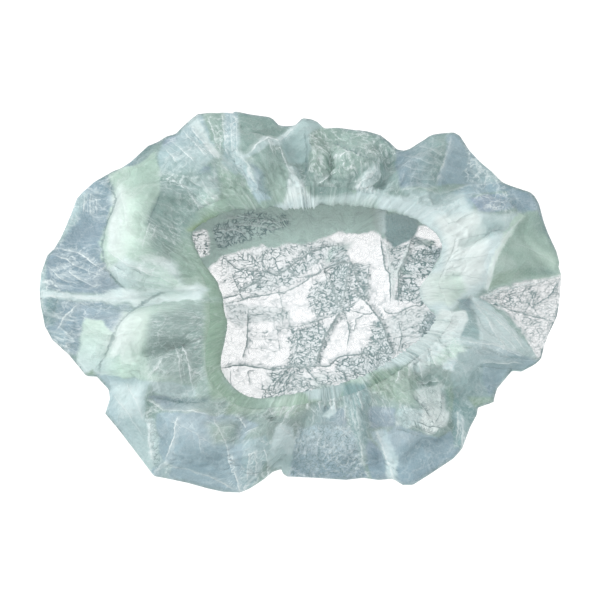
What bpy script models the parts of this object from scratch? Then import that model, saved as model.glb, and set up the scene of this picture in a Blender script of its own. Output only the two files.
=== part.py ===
# Bouffant cap of thin non-woven cloth, lying crown down with its gathered opening up.
# Units are metres, +Z up. The origin is the middle of the cap's footprint, on the surface it lies on.
# Bearings are degrees round the cap, anticlockwise from +X (the cap's right-hand end).

import math

import bmesh
import bpy
import numpy as np

# Overall sizes of the cap as it lies
cap_width = 0.376
cap_depth = 0.288
opening_width = 0.183
opening_depth = 0.149
opening_right = 0.0108  # the opening lies this far right of the outline's middle
opening_front = 0.0080  # and this far towards the front
rim_height = 0.036
billow_height = 0.024  # how far the fullest billow stands above the sheet round it

# The sheet
sheet_wall = 0.001
edge_turn = 0.0045  # radius at which the sheet turns back over itself at a full lobe
edge_lift = 0.0085  # how far a full lobe of the edge stands off the table
gather_height = 0.0030
gather_reach = 0.042  # how far the gathers run out from the hem
gather_count = 40
steps_per_gather = 3  # points of the mesh along each gather

# The hem, folded round the elastic
hem_wall = 0.001
hem_depth = 0.0095
hem_ruffle = 0.0015
hem_tilt_degrees = 14  # the hem and the sheet in it rise outwards at this angle
elastic_width = 0.0036
elastic_thickness = 0.0012
clearance = 0.0004

# Outline of the cap: reach is a share of half the width and depth at that bearing, stand is
# how far the edge there is turned up (0 pressed flat, 1 a full lobe), and foot is the share
# of the reach at which the sheet leaves the table.
outline_columns = ("bearing", "reach", "stand", "foot")
outline_rows = (
    (2, 0.985, 0.05, 0.90),
    (9, 1.005, 0.35, 0.86),
    (20, 1.000, 0.85, 0.80),
    (31, 1.055, 1.00, 0.74),
    (40, 0.985, 0.90, 0.64),
    (49, 1.010, 1.00, 0.50),
    (56, 1.060, 1.20, 0.45),
    (64, 0.885, 0.80, 0.46),
    (74, 0.925, 1.10, 0.42),
    (84, 0.915, 1.00, 0.38),
    (89, 0.960, 1.20, 0.36),
    (95, 0.925, 0.90, 0.36),
    (105, 1.025, 1.20, 0.36),
    (112, 1.050, 1.20, 0.37),
    (118, 1.020, 1.00, 0.39),
    (126, 1.005, 0.80, 0.42),
    (133, 0.980, 0.60, 0.45),
    (142, 1.010, 0.40, 0.50),
    (151, 1.000, 0.30, 0.60),
    (160, 0.975, 0.30, 0.72),
    (170, 1.000, 0.35, 0.82),
    (181, 0.995, 0.30, 0.86),
    (189, 0.980, 0.35, 0.84),
    (201, 0.910, 0.60, 0.82),
    (206, 0.900, 0.80, 0.80),
    (209, 0.875, 0.80, 0.80),
    (213, 0.890, 0.70, 0.80),
    (219, 0.945, 0.90, 0.80),
    (230, 1.000, 0.90, 0.78),
    (238, 1.060, 0.80, 0.78),
    (246, 1.035, 0.80, 0.78),
    (257, 1.025, 0.90, 0.80),
    (262, 0.965, 0.60, 0.82),
    (265.5, 0.890, 0.40, 0.86),
    (270, 0.925, 0.35, 0.86),
    (280, 0.955, 0.40, 0.84),
    (288, 0.985, 0.60, 0.82),
    (294, 1.045, 0.90, 0.80),
    (304, 1.020, 0.90, 0.80),
    (312, 0.945, 0.80, 0.80),
    (319, 0.880, 0.60, 0.82),
    (323, 0.905, 0.70, 0.82),
    (327, 0.880, 0.70, 0.82),
    (334, 0.890, 0.50, 0.84),
    (341, 0.970, 0.20, 0.88),
    (350, 0.970, 0.05, 0.90),
)

# Edge of the opening: reach is a share of half the opening, lift a share of the rim height.
opening_columns = ("bearing", "reach", "lift")
opening_rows = (
    (0, 0.890, 0.86),
    (10, 0.860, 0.84),
    (19, 0.960, 0.90),
    (31, 1.140, 1.02),
    (42, 1.165, 1.08),
    (56, 1.060, 1.06),
    (74, 1.006, 1.00),
    (95, 1.005, 1.00),
    (112, 1.025, 1.04),
    (128, 1.120, 1.06),
    (144, 1.180, 1.02),
    (155, 1.000, 0.98),
    (167, 0.790, 0.92),
    (181, 0.725, 0.88),
    (194, 0.745, 0.96),
    (210, 0.880, 1.04),
    (226, 1.050, 1.02),
    (240, 1.100, 0.96),
    (257, 0.960, 0.90),
    (275, 0.865, 0.88),
    (300, 0.835, 0.92),
    (320, 0.850, 0.98),
    (336, 0.910, 0.96),
    (351, 0.960, 0.88),
)

# Billows of the upper layer: across is half their spread in degrees, inward how far they lie
# from the outline (0) to the hem (1), along half their spread that way, rise a share.
billow_columns = ("bearing", "across", "inward", "along", "rise")
billow_rows = (
    (18, 9, 0.42, 0.36, 0.75),
    (34, 9, 0.50, 0.40, 0.65),
    (56, 8, 0.45, 0.38, 0.60),
    (76, 9, 0.50, 0.40, 0.55),
    (89, 4, 0.45, 0.40, 0.60),
    (104, 7, 0.45, 0.42, 0.70),
    (121, 9, 0.48, 0.42, 0.80),
    (141, 11, 0.60, 0.34, 0.95),
    (160, 11, 0.62, 0.32, 1.00),
    (195, 10, 0.55, 0.34, 1.00),
    (213, 9, 0.50, 0.38, 0.75),
    (236, 12, 0.45, 0.40, 0.60),
    (255, 6, 0.50, 0.40, 0.50),
    (284, 10, 0.50, 0.40, 0.35),
    (302, 8, 0.45, 0.40, 0.60),
    (326, 9, 0.50, 0.38, 0.60),
    (337, 5, 0.52, 0.36, 0.55),
)

# Valleys between the billows: each runs from one bearing at the hem to one at the outline,
# with half its width in degrees at either end; depth is a share of the height there.
valley_columns = ("hem_bearing", "outline_bearing", "hem_width", "outline_width", "depth")
valley_rows = (
    (2, -4, 5, 13, 0.93),
    (25, 25, 2.5, 3.5, 0.35),
    (46, 44, 3, 5, 0.35),
    (66, 64, 3, 4, 0.55),
    (84, 83, 2, 3, 0.30),
    (93, 95, 2.5, 3, 0.50),
    (113, 114, 2.5, 4, 0.30),
    (131, 132, 3, 5, 0.35),
    (177, 177, 5, 6, 0.72),
    (206, 206, 3, 4, 0.45),
    (224, 225, 3, 5, 0.35),
    (248, 249, 3, 4, 0.30),
    (265, 264, 4, 5, 0.60),
    (292, 290, 2.5, 3, 0.35),
    (315, 318, 4, 5, 0.50),
)

# Tucks that stand up in the floor of the crown, radial from its middle: near and far are
# shares of the way to where the sheet leaves the table, height a share of the tallest tuck.
tuck_height = 0.006
tuck_columns = ("bearing", "across", "near", "far", "height")
tuck_rows = (
    (22, 6, 0.36, 0.88, 1.0),
    (64, 8, 0.40, 1.00, 0.8),
    (176, 6, 0.40, 0.90, 0.7),
    (232, 6, 0.45, 0.95, 0.6),
    (280, 7, 0.36, 0.92, 1.0),
    (338, 6, 0.40, 0.90, 0.8),
)

# Colours of the cloth and the elastic
pale_mint = (0.62, 0.74, 0.68, 1.0)
deep_mint = (0.46, 0.60, 0.50, 1.0)
elastic_white = (0.86, 0.88, 0.84, 1.0)


def named(columns, rows):
    """The rows of a table as dictionaries."""
    return [dict(zip(columns, row)) for row in rows]


def turn_between(bearing, other):
    """Degrees from one bearing to another, the short way round."""
    return (bearing - other + 180) % 360 - 180


def eased(table, column):
    """A function of bearing that runs smoothly through a column, with no overshoot between rows."""
    at = [row["bearing"] for row in table]
    value = [row[column] for row in table]
    count = len(table)
    gaps = [(at[(i + 1) % count] - at[i]) % 360 for i in range(count)]
    rises = [(value[(i + 1) % count] - value[i]) / gaps[i] for i in range(count)]
    slopes = []
    for i in range(count):
        before, after = rises[i - 1], rises[i]
        flat = before * after <= 0
        slopes.append(0 if flat else 2 * before * after / (before + after))

    def read(bearing):
        i = max((k for k in range(count) if at[k] <= bearing % 360), default=count - 1)
        far = (i + 1) % count
        gap = gaps[i]
        s = (bearing - at[i]) % 360 / gap
        return (
            value[i] * (1 + 2 * s) * (1 - s) ** 2
            + value[far] * s * s * (3 - 2 * s)
            + gap * s * (1 - s) * (slopes[i] * (1 - s) - slopes[far] * s)
        )

    return read


def ramp(x, start, end):
    """0 before start, 1 after end, and a smooth rise between them."""
    s = min(max((x - start) / (end - start), 0), 1)
    return s * s * (3 - 2 * s)


def bump(x, half_width):
    """1 at 0, falling smoothly to 0 near twice the half width."""
    return math.exp(-((x / half_width) ** 2))


outline = named(outline_columns, outline_rows)
opening = named(opening_columns, opening_rows)
billows = named(billow_columns, billow_rows)
valleys = named(valley_columns, valley_rows)
tucks = named(tuck_columns, tuck_rows)
outline_reach = eased(outline, "reach")
edge_stand = eased(outline, "stand")
foot_share = eased(outline, "foot")
opening_reach = eased(opening, "reach")
opening_lift = eased(opening, "lift")

# What follows from the sizes above
slot_height = max(elastic_thickness, sheet_wall) + 2 * clearance
hem_thickness = slot_height + 2 * hem_wall
edge_in_hem = hem_wall + elastic_width + 2 * clearance  # where the sheet's edge stops in the hem
flat_turn = sheet_wall + clearance  # radius of the turn where the edge is pressed flat
floor_level = sheet_wall / 2


def heading(bearing, width, depth):
    """Plan direction at a bearing of an oval, as long as its half width there."""
    angle = math.radians(bearing)
    return np.array([math.cos(angle) * width / 2, math.sin(angle) * depth / 2])


def outline_point(bearing):
    return heading(bearing, cap_width, cap_depth) * outline_reach(bearing)


def opening_centre():
    return np.array([opening_right, -opening_front])


def opening_outwards(bearing):
    """Unit plan direction out of the opening at a bearing."""
    out = heading(bearing, opening_width, opening_depth)
    return out / np.linalg.norm(out)


def rim_point(bearing, outwards, above=0.0):
    """A point of the hem's own grid: outwards from the hem's inner edge, above its middle."""
    plan = opening_centre() + heading(bearing, opening_width, opening_depth) * opening_reach(bearing)
    plan = plan + opening_outwards(bearing) * outwards
    height = rim_height * opening_lift(bearing) + above
    height += outwards * math.tan(math.radians(hem_tilt_degrees))
    return np.array([plan[0], plan[1], height])


def edge_radius(bearing):
    return flat_turn + (edge_turn - flat_turn) * edge_stand(bearing)


def edge_middle_height(bearing):
    return floor_level + edge_lift * edge_stand(bearing) + edge_radius(bearing)


def floor_point(bearing, share):
    """The floor of the crown: share 0 is its middle, 1 where the sheet leaves the table."""
    plan = outline_point(bearing) * foot_share(bearing) * share
    height = floor_level
    for tuck in tucks:
        side = bump(turn_between(bearing, tuck["bearing"]), tuck["across"])
        run = ramp(share, tuck["near"], (tuck["near"] + tuck["far"]) / 2)
        run *= 1 - ramp(share, (tuck["near"] + tuck["far"]) / 2, tuck["far"])
        height += tuck_height * tuck["height"] * side * run
    return np.array([plan[0], plan[1], height])


def wall_point(bearing, share):
    """The lower layer between the table (share 0) and the turned edge (share 1)."""
    out = outline_point(bearing)
    start = out * foot_share(bearing)
    end = out * (1 - edge_radius(bearing) / np.linalg.norm(out))
    plan = start + (end - start) * share
    lift = edge_middle_height(bearing) - edge_radius(bearing) - floor_level
    return np.array([plan[0], plan[1], floor_level + lift * (1 - (1 - share) ** 2)])


def edge_point(bearing, turned):
    """The turned edge, from its underside (turned 0) round to its top (turned 1)."""
    angle = math.pi * (turned - 0.5)
    out = outline_point(bearing)
    radius = edge_radius(bearing)
    plan = out * (1 - radius * (1 - math.cos(angle)) / np.linalg.norm(out))
    return np.array([plan[0], plan[1], edge_middle_height(bearing) + radius * math.sin(angle)])


def valley_share(bearing, inward):
    """How much of the height is left at a point of the upper layer, 1 away from the valleys."""
    left = 1.0
    for valley in valleys:
        middle = valley["outline_bearing"]
        middle += (valley["hem_bearing"] - valley["outline_bearing"]) * inward
        width = valley["outline_width"]
        width += (valley["hem_width"] - valley["outline_width"]) * inward
        left *= 1 - valley["depth"] * bump(turn_between(bearing, middle), width)
    return left


def upper_point(bearing, inward, gather=0.0):
    """The upper layer, from the turned edge (inward 0) to the mouth of the hem (inward 1)."""
    start = edge_point(bearing, 1)
    end = rim_point(bearing, hem_depth + clearance)
    plan = start[:2] + (end[:2] - start[:2]) * inward
    slack = math.sin(math.pi * inward) ** 0.8
    height = start[2] + (end[2] - start[2]) * ramp(inward, 0, 0.9)
    for billow in billows:
        side = bump(turn_between(bearing, billow["bearing"]), billow["across"])
        run = bump(inward - billow["inward"], billow["along"])
        height += billow_height * billow["rise"] * side * run * slack
    lowest = start[2] * (1 - inward) + end[2] * inward ** 4
    kept = valley_share(bearing, inward)
    kept += (1 - kept) * ramp(inward, 0.8, 1)
    height = max(lowest, lowest + (height - lowest) * kept)
    from_hem = np.linalg.norm(end[:2] - plan)
    height += gather * gather_height * ramp(from_hem, 0, gather_reach / 4) * (
        1 - ramp(from_hem, gather_reach / 4, gather_reach)
    )
    return np.array([plan[0], plan[1], height])


def footprint_middle():
    """Middle of the outline's box, which becomes the origin."""
    points = np.array([outline_point(bearing / 4) for bearing in range(1440)])
    return (points.min(0) + points.max(0)) / 2


def mesh_object(name, points, faces, colour, roughness):
    """An object from points and faces, moved so that the footprint's middle is the origin."""
    middle = footprint_middle()
    mesh = bpy.data.meshes.new(name)
    mesh.from_pydata([(x - middle[0], y - middle[1], z) for x, y, z in points], [], faces)
    form = bmesh.new()
    form.from_mesh(mesh)
    bmesh.ops.recalc_face_normals(form, faces=form.faces)
    form.to_mesh(mesh)
    form.free()
    mesh.shade_smooth()
    material = bpy.data.materials.new(name)
    material.use_nodes = True
    shader = material.node_tree.nodes["Principled BSDF"]
    shader.inputs["Base Color"].default_value = colour
    shader.inputs["Roughness"].default_value = roughness
    shader.inputs["Metallic"].default_value = 0.0
    mesh.materials.append(material)
    made = bpy.data.objects.new(name, mesh)
    parts.objects.link(made)
    return made


def grid_faces(rings, around, closed_rings):
    """Quads between rings of points; closed_rings joins the last ring to the first."""
    faces = []
    for i in range(rings if closed_rings else rings - 1):
        for j in range(around):
            here, there = i * around, (i + 1) % rings * around
            far = (j + 1) % around
            faces.append((here + j, here + far, there + far, there + j))
    return faces


def make_cap_sheet():
    """The whole cap: one round sheet, flat underneath, turned up at its edge and gathered in on top."""
    around = gather_count * steps_per_gather
    bearings = [360 * j / around for j in range(around)]
    gathers = [math.cos(math.tau * j / steps_per_gather) for j in range(around)]
    rings = [[floor_point(b, share) for b in bearings] for share in (0.35, 0.62, 0.84, 1.0)]
    rings += [[wall_point(b, share) for b in bearings] for share in (0.3, 0.7)]
    rings += [[edge_point(b, turned) for b in bearings] for turned in (0, 0.33, 0.67, 1)]
    for inward in (0.16, 0.34, 0.52, 0.70, 0.86, 1.0):
        rings.append([upper_point(b, inward, g) for b, g in zip(bearings, gathers)])
    rings.append([rim_point(b, edge_in_hem) for b in bearings])
    points = [point for ring in rings for point in ring]
    faces = grid_faces(len(rings), around, False)
    middle = len(points)
    points.append((0, 0, floor_level))
    faces += [(middle, (j + 1) % around, j) for j in range(around)]
    sheet = mesh_object("cap_sheet", points, faces, pale_mint, 0.6)
    wall = sheet.modifiers.new("wall", "SOLIDIFY")
    wall.thickness = sheet_wall
    wall.offset = 0
    wall.use_even_offset = True
    return sheet


def make_folded_hem():
    """The hem: the sheet's edge folded round the elastic, open on its outer side and ruffled."""
    around = gather_count * steps_per_gather
    half = hem_thickness / 2
    slot = slot_height / 2
    section = (
        (hem_depth, half, 1),
        (hem_depth * 0.5, half, 1),
        (hem_wall, half, 1),
        (0, slot, 0),
        (0, -slot, 0),
        (hem_wall, -half, -1),
        (hem_depth * 0.5, -half, -1),
        (hem_depth, -half, -1),
        (hem_depth, -slot, 0),
        (hem_wall, -slot, 0),
        (hem_wall, slot, 0),
        (hem_depth, slot, 0),
    )
    rings = []
    for outwards, above, ruffled in section:
        ring = []
        for j in range(around):
            swell = hem_ruffle * (0.5 + 0.5 * math.cos(math.tau * j / steps_per_gather))
            ring.append(rim_point(360 * j / around, outwards, above + ruffled * swell))
        rings.append(ring)
    points = [point for ring in rings for point in ring]
    return mesh_object(
        "folded_hem", points, grid_faces(len(rings), around, True), deep_mint, 0.65
    )


def make_elastic_band():
    """The flat elastic that lies in the hem."""
    around = gather_count * steps_per_gather
    near = hem_wall + clearance
    half = elastic_thickness / 2
    section = (
        (near, half),
        (near, -half),
        (near + elastic_width, -half),
        (near + elastic_width, half),
    )
    rings = [
        [rim_point(360 * j / around, outwards, above) for j in range(around)]
        for outwards, above in section
    ]
    points = [point for ring in rings for point in ring]
    return mesh_object(
        "elastic_band", points, grid_faces(len(rings), around, True), elastic_white, 0.8
    )


for old in list(bpy.data.objects):
    bpy.data.objects.remove(old)
parts = bpy.data.collections.new("bouffant_cap")
bpy.context.scene.collection.children.link(parts)
make_cap_sheet()
make_folded_hem()
make_elastic_band()
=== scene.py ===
# Bouffant cap of thin non-woven cloth, lying crown down with its gathered opening up.
# Shapes are worked out in millimetres and turned into metres when a mesh is made.
# Bearings are degrees round the cap, anticlockwise from its right-hand end (+X).

import math

import bpy
import numpy as np
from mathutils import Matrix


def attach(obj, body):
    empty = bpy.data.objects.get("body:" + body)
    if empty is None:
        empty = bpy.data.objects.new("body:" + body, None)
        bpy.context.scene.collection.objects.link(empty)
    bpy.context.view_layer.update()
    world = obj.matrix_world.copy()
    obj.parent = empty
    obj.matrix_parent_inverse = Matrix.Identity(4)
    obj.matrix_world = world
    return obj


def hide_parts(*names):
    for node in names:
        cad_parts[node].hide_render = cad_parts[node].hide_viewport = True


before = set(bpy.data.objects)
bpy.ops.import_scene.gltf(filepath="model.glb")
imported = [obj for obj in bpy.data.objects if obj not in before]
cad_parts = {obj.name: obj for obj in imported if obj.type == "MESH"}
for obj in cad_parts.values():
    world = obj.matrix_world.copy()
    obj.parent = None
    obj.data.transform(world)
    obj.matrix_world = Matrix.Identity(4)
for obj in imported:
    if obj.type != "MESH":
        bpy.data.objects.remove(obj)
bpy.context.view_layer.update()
scene = bpy.context.scene
print("frame loaded:", ", ".join(sorted(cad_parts)))

# Sizes of the cap as it lies
capForm = {
    "width": 376.0,
    "depth": 288.0,
    "openingWidth": 183.0,
    "openingDepth": 149.0,
    "openingRight": 10.8,
    "openingFront": 8.0,
    "rimHeight": 36.0,
    "billowHeight": 24.0,
    "edgeTurn": 4.5,  # radius of the turned edge at a full lobe
    "edgePressed": 1.4,  # and where it is pressed flat
    "edgeLift": 8.5,
    "hemDepth": 9.5,
    "hemTilt": 14.0,  # degrees
    "seamGap": 0.4,  # the upper layer ends this far outside the hem
    "sheetInHem": 5.4,  # where the sheet's cut edge stops, out from the hem's inner edge
    "floorLevel": 0.5,
    "tuckHeight": 6.0,
    "slopeEnds": 0.9,  # share of the way in at which the upper layer is as high as the hem
    "valleysEnd": 0.8,  # share of the way in from which the valleys run out
    "billowFullness": 0.8,  # the lower, the steeper the billows' ends
    "sag": 4,  # the higher, the longer the cloth stays low in a valley
}

# Outline: bearing, share of the oval's reach, how far the edge is turned up, and the share at which the
# sheet leaves the table
outlineRows = (
    (2, 0.985, 0.05, 0.9), (9, 1.005, 0.35, 0.86), (20, 1, 0.85, 0.8), (31, 1.055, 1, 0.74),
    (40, 0.985, 0.9, 0.64), (49, 1.01, 1, 0.5), (56, 1.06, 1.2, 0.45), (64, 0.885, 0.8, 0.46),
    (74, 0.925, 1.1, 0.42), (84, 0.915, 1, 0.38), (89, 0.96, 1.2, 0.36), (95, 0.925, 0.9, 0.36),
    (105, 1.025, 1.2, 0.36), (112, 1.05, 1.2, 0.37), (118, 1.02, 1, 0.39), (126, 1.005, 0.8, 0.42),
    (133, 0.98, 0.6, 0.45), (142, 1.01, 0.4, 0.5), (151, 1, 0.3, 0.6), (160, 0.975, 0.3, 0.72),
    (170, 1, 0.35, 0.82), (181, 0.995, 0.3, 0.86), (189, 0.98, 0.35, 0.84), (201, 0.91, 0.6, 0.82),
    (206, 0.9, 0.8, 0.8), (209, 0.875, 0.8, 0.8), (213, 0.89, 0.7, 0.8), (219, 0.945, 0.9, 0.8),
    (230, 1, 0.9, 0.78), (238, 1.06, 0.8, 0.78), (246, 1.035, 0.8, 0.78), (257, 1.025, 0.9, 0.8),
    (262, 0.965, 0.6, 0.82), (265.5, 0.89, 0.4, 0.86), (270, 0.925, 0.35, 0.86), (280, 0.955, 0.4, 0.84),
    (288, 0.985, 0.6, 0.82), (294, 1.045, 0.9, 0.8), (304, 1.02, 0.9, 0.8), (312, 0.945, 0.8, 0.8),
    (319, 0.88, 0.6, 0.82), (323, 0.905, 0.7, 0.82), (327, 0.88, 0.7, 0.82), (334, 0.89, 0.5, 0.84),
    (341, 0.97, 0.2, 0.88), (350, 0.97, 0.05, 0.9),
)

# Edge of the opening: bearing, share of its oval's reach, share of the rim height
openingRows = (
    (0, 0.89, 0.86), (10, 0.86, 0.84), (19, 0.96, 0.9), (31, 1.14, 1.02), (42, 1.165, 1.08), (56, 1.06, 1.06),
    (74, 1.006, 1), (95, 1.005, 1), (112, 1.025, 1.04), (128, 1.12, 1.06), (144, 1.18, 1.02), (155, 1, 0.98),
    (167, 0.79, 0.92), (181, 0.725, 0.88), (194, 0.745, 0.96), (210, 0.88, 1.04), (226, 1.05, 1.02),
    (240, 1.1, 0.96), (257, 0.96, 0.9), (275, 0.865, 0.88), (300, 0.835, 0.92), (320, 0.85, 0.98),
    (336, 0.91, 0.96), (351, 0.96, 0.88),
)

# Billows: bearing, half their spread in degrees, how far in they lie, half their spread that way, rise
billowRows = (
    (18, 9, 0.42, 0.36, 0.75), (34, 9, 0.5, 0.4, 0.65), (56, 8, 0.45, 0.38, 0.6), (76, 9, 0.5, 0.4, 0.55),
    (89, 4, 0.45, 0.4, 0.6), (104, 7, 0.45, 0.42, 0.7), (121, 9, 0.48, 0.42, 0.8), (141, 11, 0.6, 0.34, 0.95),
    (160, 11, 0.62, 0.32, 1), (195, 10, 0.55, 0.34, 1), (213, 9, 0.5, 0.38, 0.75), (236, 12, 0.45, 0.4, 0.6),
    (255, 6, 0.5, 0.4, 0.5), (284, 10, 0.5, 0.4, 0.35), (302, 8, 0.45, 0.4, 0.6), (326, 9, 0.5, 0.38, 0.6),
    (337, 5, 0.52, 0.36, 0.55),
)

# Valleys between them: bearing at the hem and at the outline, half width at each, share of the height taken
valleyRows = (
    (2, -4, 5, 13, 0.93), (25, 25, 2.5, 3.5, 0.35), (46, 44, 3, 5, 0.35), (66, 64, 3, 4, 0.55),
    (84, 83, 2, 3, 0.3), (93, 95, 2.5, 3, 0.32), (113, 114, 2.5, 4, 0.3), (131, 132, 3, 5, 0.35),
    (177, 177, 5, 6, 0.72), (206, 206, 3, 4, 0.45), (224, 225, 3, 5, 0.35), (248, 249, 3, 4, 0.3),
    (265, 264, 4, 5, 0.6), (292, 290, 2.5, 3, 0.35), (315, 318, 4, 5, 0.5),
)

# Tucks in the floor of the crown: bearing, half width, where they start and end, height
tuckRows = (
    (22, 6, 0.36, 0.88, 1), (64, 8, 0.4, 1, 0.8), (176, 6, 0.4, 0.9, 0.7), (232, 6, 0.45, 0.95, 0.6),
    (280, 7, 0.36, 0.92, 1), (338, 6, 0.4, 0.9, 0.8),
)


def ramp(x, start, end):
    # 0 before start, 1 after end, and a smooth rise between them
    s = np.clip((x - start) / (end - start), 0, 1)
    return s * s * (3 - 2 * s)


def bump(x, halfWidth):
    return np.exp(-((x / halfWidth) ** 2))


def turnBetween(bearing, other):
    return (bearing - other + 180) % 360 - 180


def easedColumn(rows, column):
    # a smooth function of bearing through one column of a table, with no overshoot between its rows
    at = np.array([row[0] for row in rows], float)
    value = np.array([row[column] for row in rows], float)
    gaps = (np.roll(at, -1) - at) % 360
    rises = (np.roll(value, -1) - value) / gaps
    before = np.roll(rises, 1)
    product = before * rises
    slopes = np.where(product > 0, 2 * product / np.where(product > 0, before + rises, 1), 0)

    def read(bearing):
        here = (np.searchsorted(at, bearing % 360, side="right") - 1) % len(at)
        far = (here + 1) % len(at)
        s = ((bearing - at[here]) % 360) / gaps[here]
        return (
            value[here] * (1 + 2 * s) * (1 - s) ** 2
            + value[far] * s * s * (3 - 2 * s)
            + gaps[here] * s * (1 - s) * (slopes[here] * (1 - s) - slopes[far] * s)
        )

    return read


outlineReach = easedColumn(outlineRows, 1)
edgeStand = easedColumn(outlineRows, 2)
footShare = easedColumn(outlineRows, 3)
openingReach = easedColumn(openingRows, 1)
openingLift = easedColumn(openingRows, 2)

# How strongly the elastic gathers the cloth: bearing and strength
gatherRows = (
    (0, 0.4), (20, 0.35), (42, 0.3), (62, 0.6), (95, 0.9), (125, 0.7), (150, 0.35), (180, 0.15), (215, 0.12),
    (240, 0.35), (262, 0.6), (280, 0.7), (310, 1.2), (335, 1.3), (350, 0.7),
)
pleatStrength = easedColumn(gatherRows, 1)


def ovalPoint(bearing, width, depth):
    angle = np.radians(bearing)
    return np.stack([np.cos(angle) * width / 2, np.sin(angle) * depth / 2], -1)


def outlinePoint(bearing):
    return ovalPoint(bearing, capForm["width"], capForm["depth"]) * outlineReach(bearing)[..., None]


def footprintMiddle():
    points = outlinePoint(np.arange(1440) / 4)
    return (points.min(0) + points.max(0)) / 2


def lengthOf(vectors):
    return np.linalg.norm(vectors, axis=-1, keepdims=True)


def rimPoint(bearing, outwards, above):
    # a point of the hem: outwards from its inner edge, above its middle
    way = ovalPoint(bearing, capForm["openingWidth"], capForm["openingDepth"])
    middle = np.array([capForm["openingRight"], -capForm["openingFront"]])
    plan = middle + way * openingReach(bearing)[..., None]
    plan = plan + way / lengthOf(way) * np.asarray(outwards)[..., None]
    height = capForm["rimHeight"] * openingLift(bearing) + above
    height = height + outwards * math.tan(math.radians(capForm["hemTilt"]))
    return np.concatenate([plan, height[..., None]], -1)


def edgeRadius(bearing):
    return capForm["edgePressed"] + (capForm["edgeTurn"] - capForm["edgePressed"]) * edgeStand(bearing)


def edgeMiddle(bearing):
    return capForm["floorLevel"] + capForm["edgeLift"] * edgeStand(bearing) + edgeRadius(bearing)


def withHeight(plan, height):
    return np.concatenate([plan, height[..., None]], -1)


def floorPoint(bearing, share):
    plan = outlinePoint(bearing) * (footShare(bearing) * share)[..., None]
    height = np.full(bearing.shape, capForm["floorLevel"])
    for at, across, near, far, tall in tuckRows:
        middle = (near + far) / 2
        run = ramp(share, near, middle) * (1 - ramp(share, middle, far))
        height = height + capForm["tuckHeight"] * tall * bump(turnBetween(bearing, at), across) * run
    return withHeight(plan, height)


def wallPoint(bearing, share):
    out = outlinePoint(bearing)
    start = out * footShare(bearing)[..., None]
    end = out * (1 - edgeRadius(bearing)[..., None] / lengthOf(out))
    lift = edgeMiddle(bearing) - edgeRadius(bearing) - capForm["floorLevel"]
    height = capForm["floorLevel"] + lift * (1 - (1 - share) ** 2)
    return withHeight(start + (end - start) * share[..., None], height)


def edgePoint(bearing, turned):
    angle = np.pi * (turned - 0.5)
    out = outlinePoint(bearing)
    radius = edgeRadius(bearing)
    plan = out * (1 - (radius * (1 - np.cos(angle)))[..., None] / lengthOf(out))
    return withHeight(plan, edgeMiddle(bearing) + radius * np.sin(angle))


def upperPoint(bearing, inward):
    start = edgePoint(bearing, np.ones_like(bearing))
    end = rimPoint(bearing, np.full_like(bearing, capForm["hemDepth"] + capForm["seamGap"]), 0.0)
    plan = start[..., :2] + (end - start)[..., :2] * inward[..., None]
    slack = np.sin(np.pi * np.clip(inward, 0, 1)) ** capForm["billowFullness"]
    height = start[..., 2] + (end - start)[..., 2] * ramp(inward, 0, capForm["slopeEnds"])
    for at, across, middle, along, rise in billowRows:
        swell = bump(turnBetween(bearing, at), across) * bump(inward - middle, along)
        height = height + capForm["billowHeight"] * rise * swell * slack
    lowest = start[..., 2] * (1 - inward) + end[..., 2] * inward ** capForm["sag"]
    kept = np.ones_like(inward)
    for hemBearing, outBearing, hemWidth, outWidth, depth in valleyRows:
        middle = outBearing + (hemBearing - outBearing) * inward
        width = outWidth + (hemWidth - outWidth) * inward
        kept = kept * (1 - depth * bump(turnBetween(bearing, middle), width))
    kept = kept + (1 - kept) * ramp(inward, capForm["valleysEnd"], 1)
    return withHeight(plan, np.maximum(lowest, lowest + (height - lowest) * kept))


# Corners of the cap's outline as seen from the camera, anticlockwise from the right-hand end
outlineCorners = (
    (187.5, 12), (185.5, 19), (186, 22), (184, 31), (178, 45), (175, 54), (172, 67), (169, 73), (166, 76),
    (152, 81), (146, 83.5), (138, 92), (130, 99), (122, 108), (115, 119), (111, 121.5), (103, 121), (95, 120),
    (87, 115), (80, 110), (75, 108), (70, 109), (64, 115), (58, 120), (48, 123), (38, 124), (27, 125.5),
    (17, 125), (12, 130), (8, 132), (1, 133), (-4, 127.5), (-9, 127), (-16, 127.5), (-20, 132), (-23, 134),
    (-38, 136), (-48, 138), (-50, 136), (-53, 137), (-66, 137), (-75, 136), (-80, 132), (-86, 126),
    (-91, 121), (-98, 119), (-104, 115), (-111, 112), (-118, 105), (-124, 99), (-130, 95), (-137, 92),
    (-143, 88.5), (-150, 84), (-158, 76), (-162, 71), (-166, 58), (-173, 42), (-178, 33), (-183, 28),
    (-187, 15), (-188, 2), (-187, -10), (-183.5, -26), (-178, -36), (-166, -47), (-153, -63), (-146, -63),
    (-137, -73), (-136, -80), (-139, -91), (-130, -102), (-115, -122), (-104, -137), (-96, -138.5),
    (-80, -142), (-66, -146), (-55, -148.5), (-43, -149), (-36, -146), (-27, -140), (-20, -134), (-14, -132),
    (-13, -135), (-10, -137.5), (10, -138.5), (32, -140), (44, -138.5), (55, -140), (65, -139), (72, -143.5),
    (79, -143.5), (92, -135), (108, -124), (114, -117), (120, -101), (125, -92), (126, -86.5), (130, -85),
    (137, -82.5), (138, -78), (140, -72), (151, -59), (158, -59.5), (168, -54), (172, -50), (174, -42),
    (177, -33), (184, -18), (186, -6), (187, 6),
)
outlinePull = (0.55, 0.97)  # shares of the way out between which the cloth gives when the edge is pulled
seenMiddle = (0.0, -6.0)
viewLean = 0.325  # how far a point moves up in the picture for each millimetre it rises
leanLevel = 30  # height at which the plan and the picture agree


def seenPlace(points):
    # plan position as the camera sees it: the higher a point lies, the further up it shows
    return points[..., 0], points[..., 1] + (points[..., 2] - leanLevel) * viewLean


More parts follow.
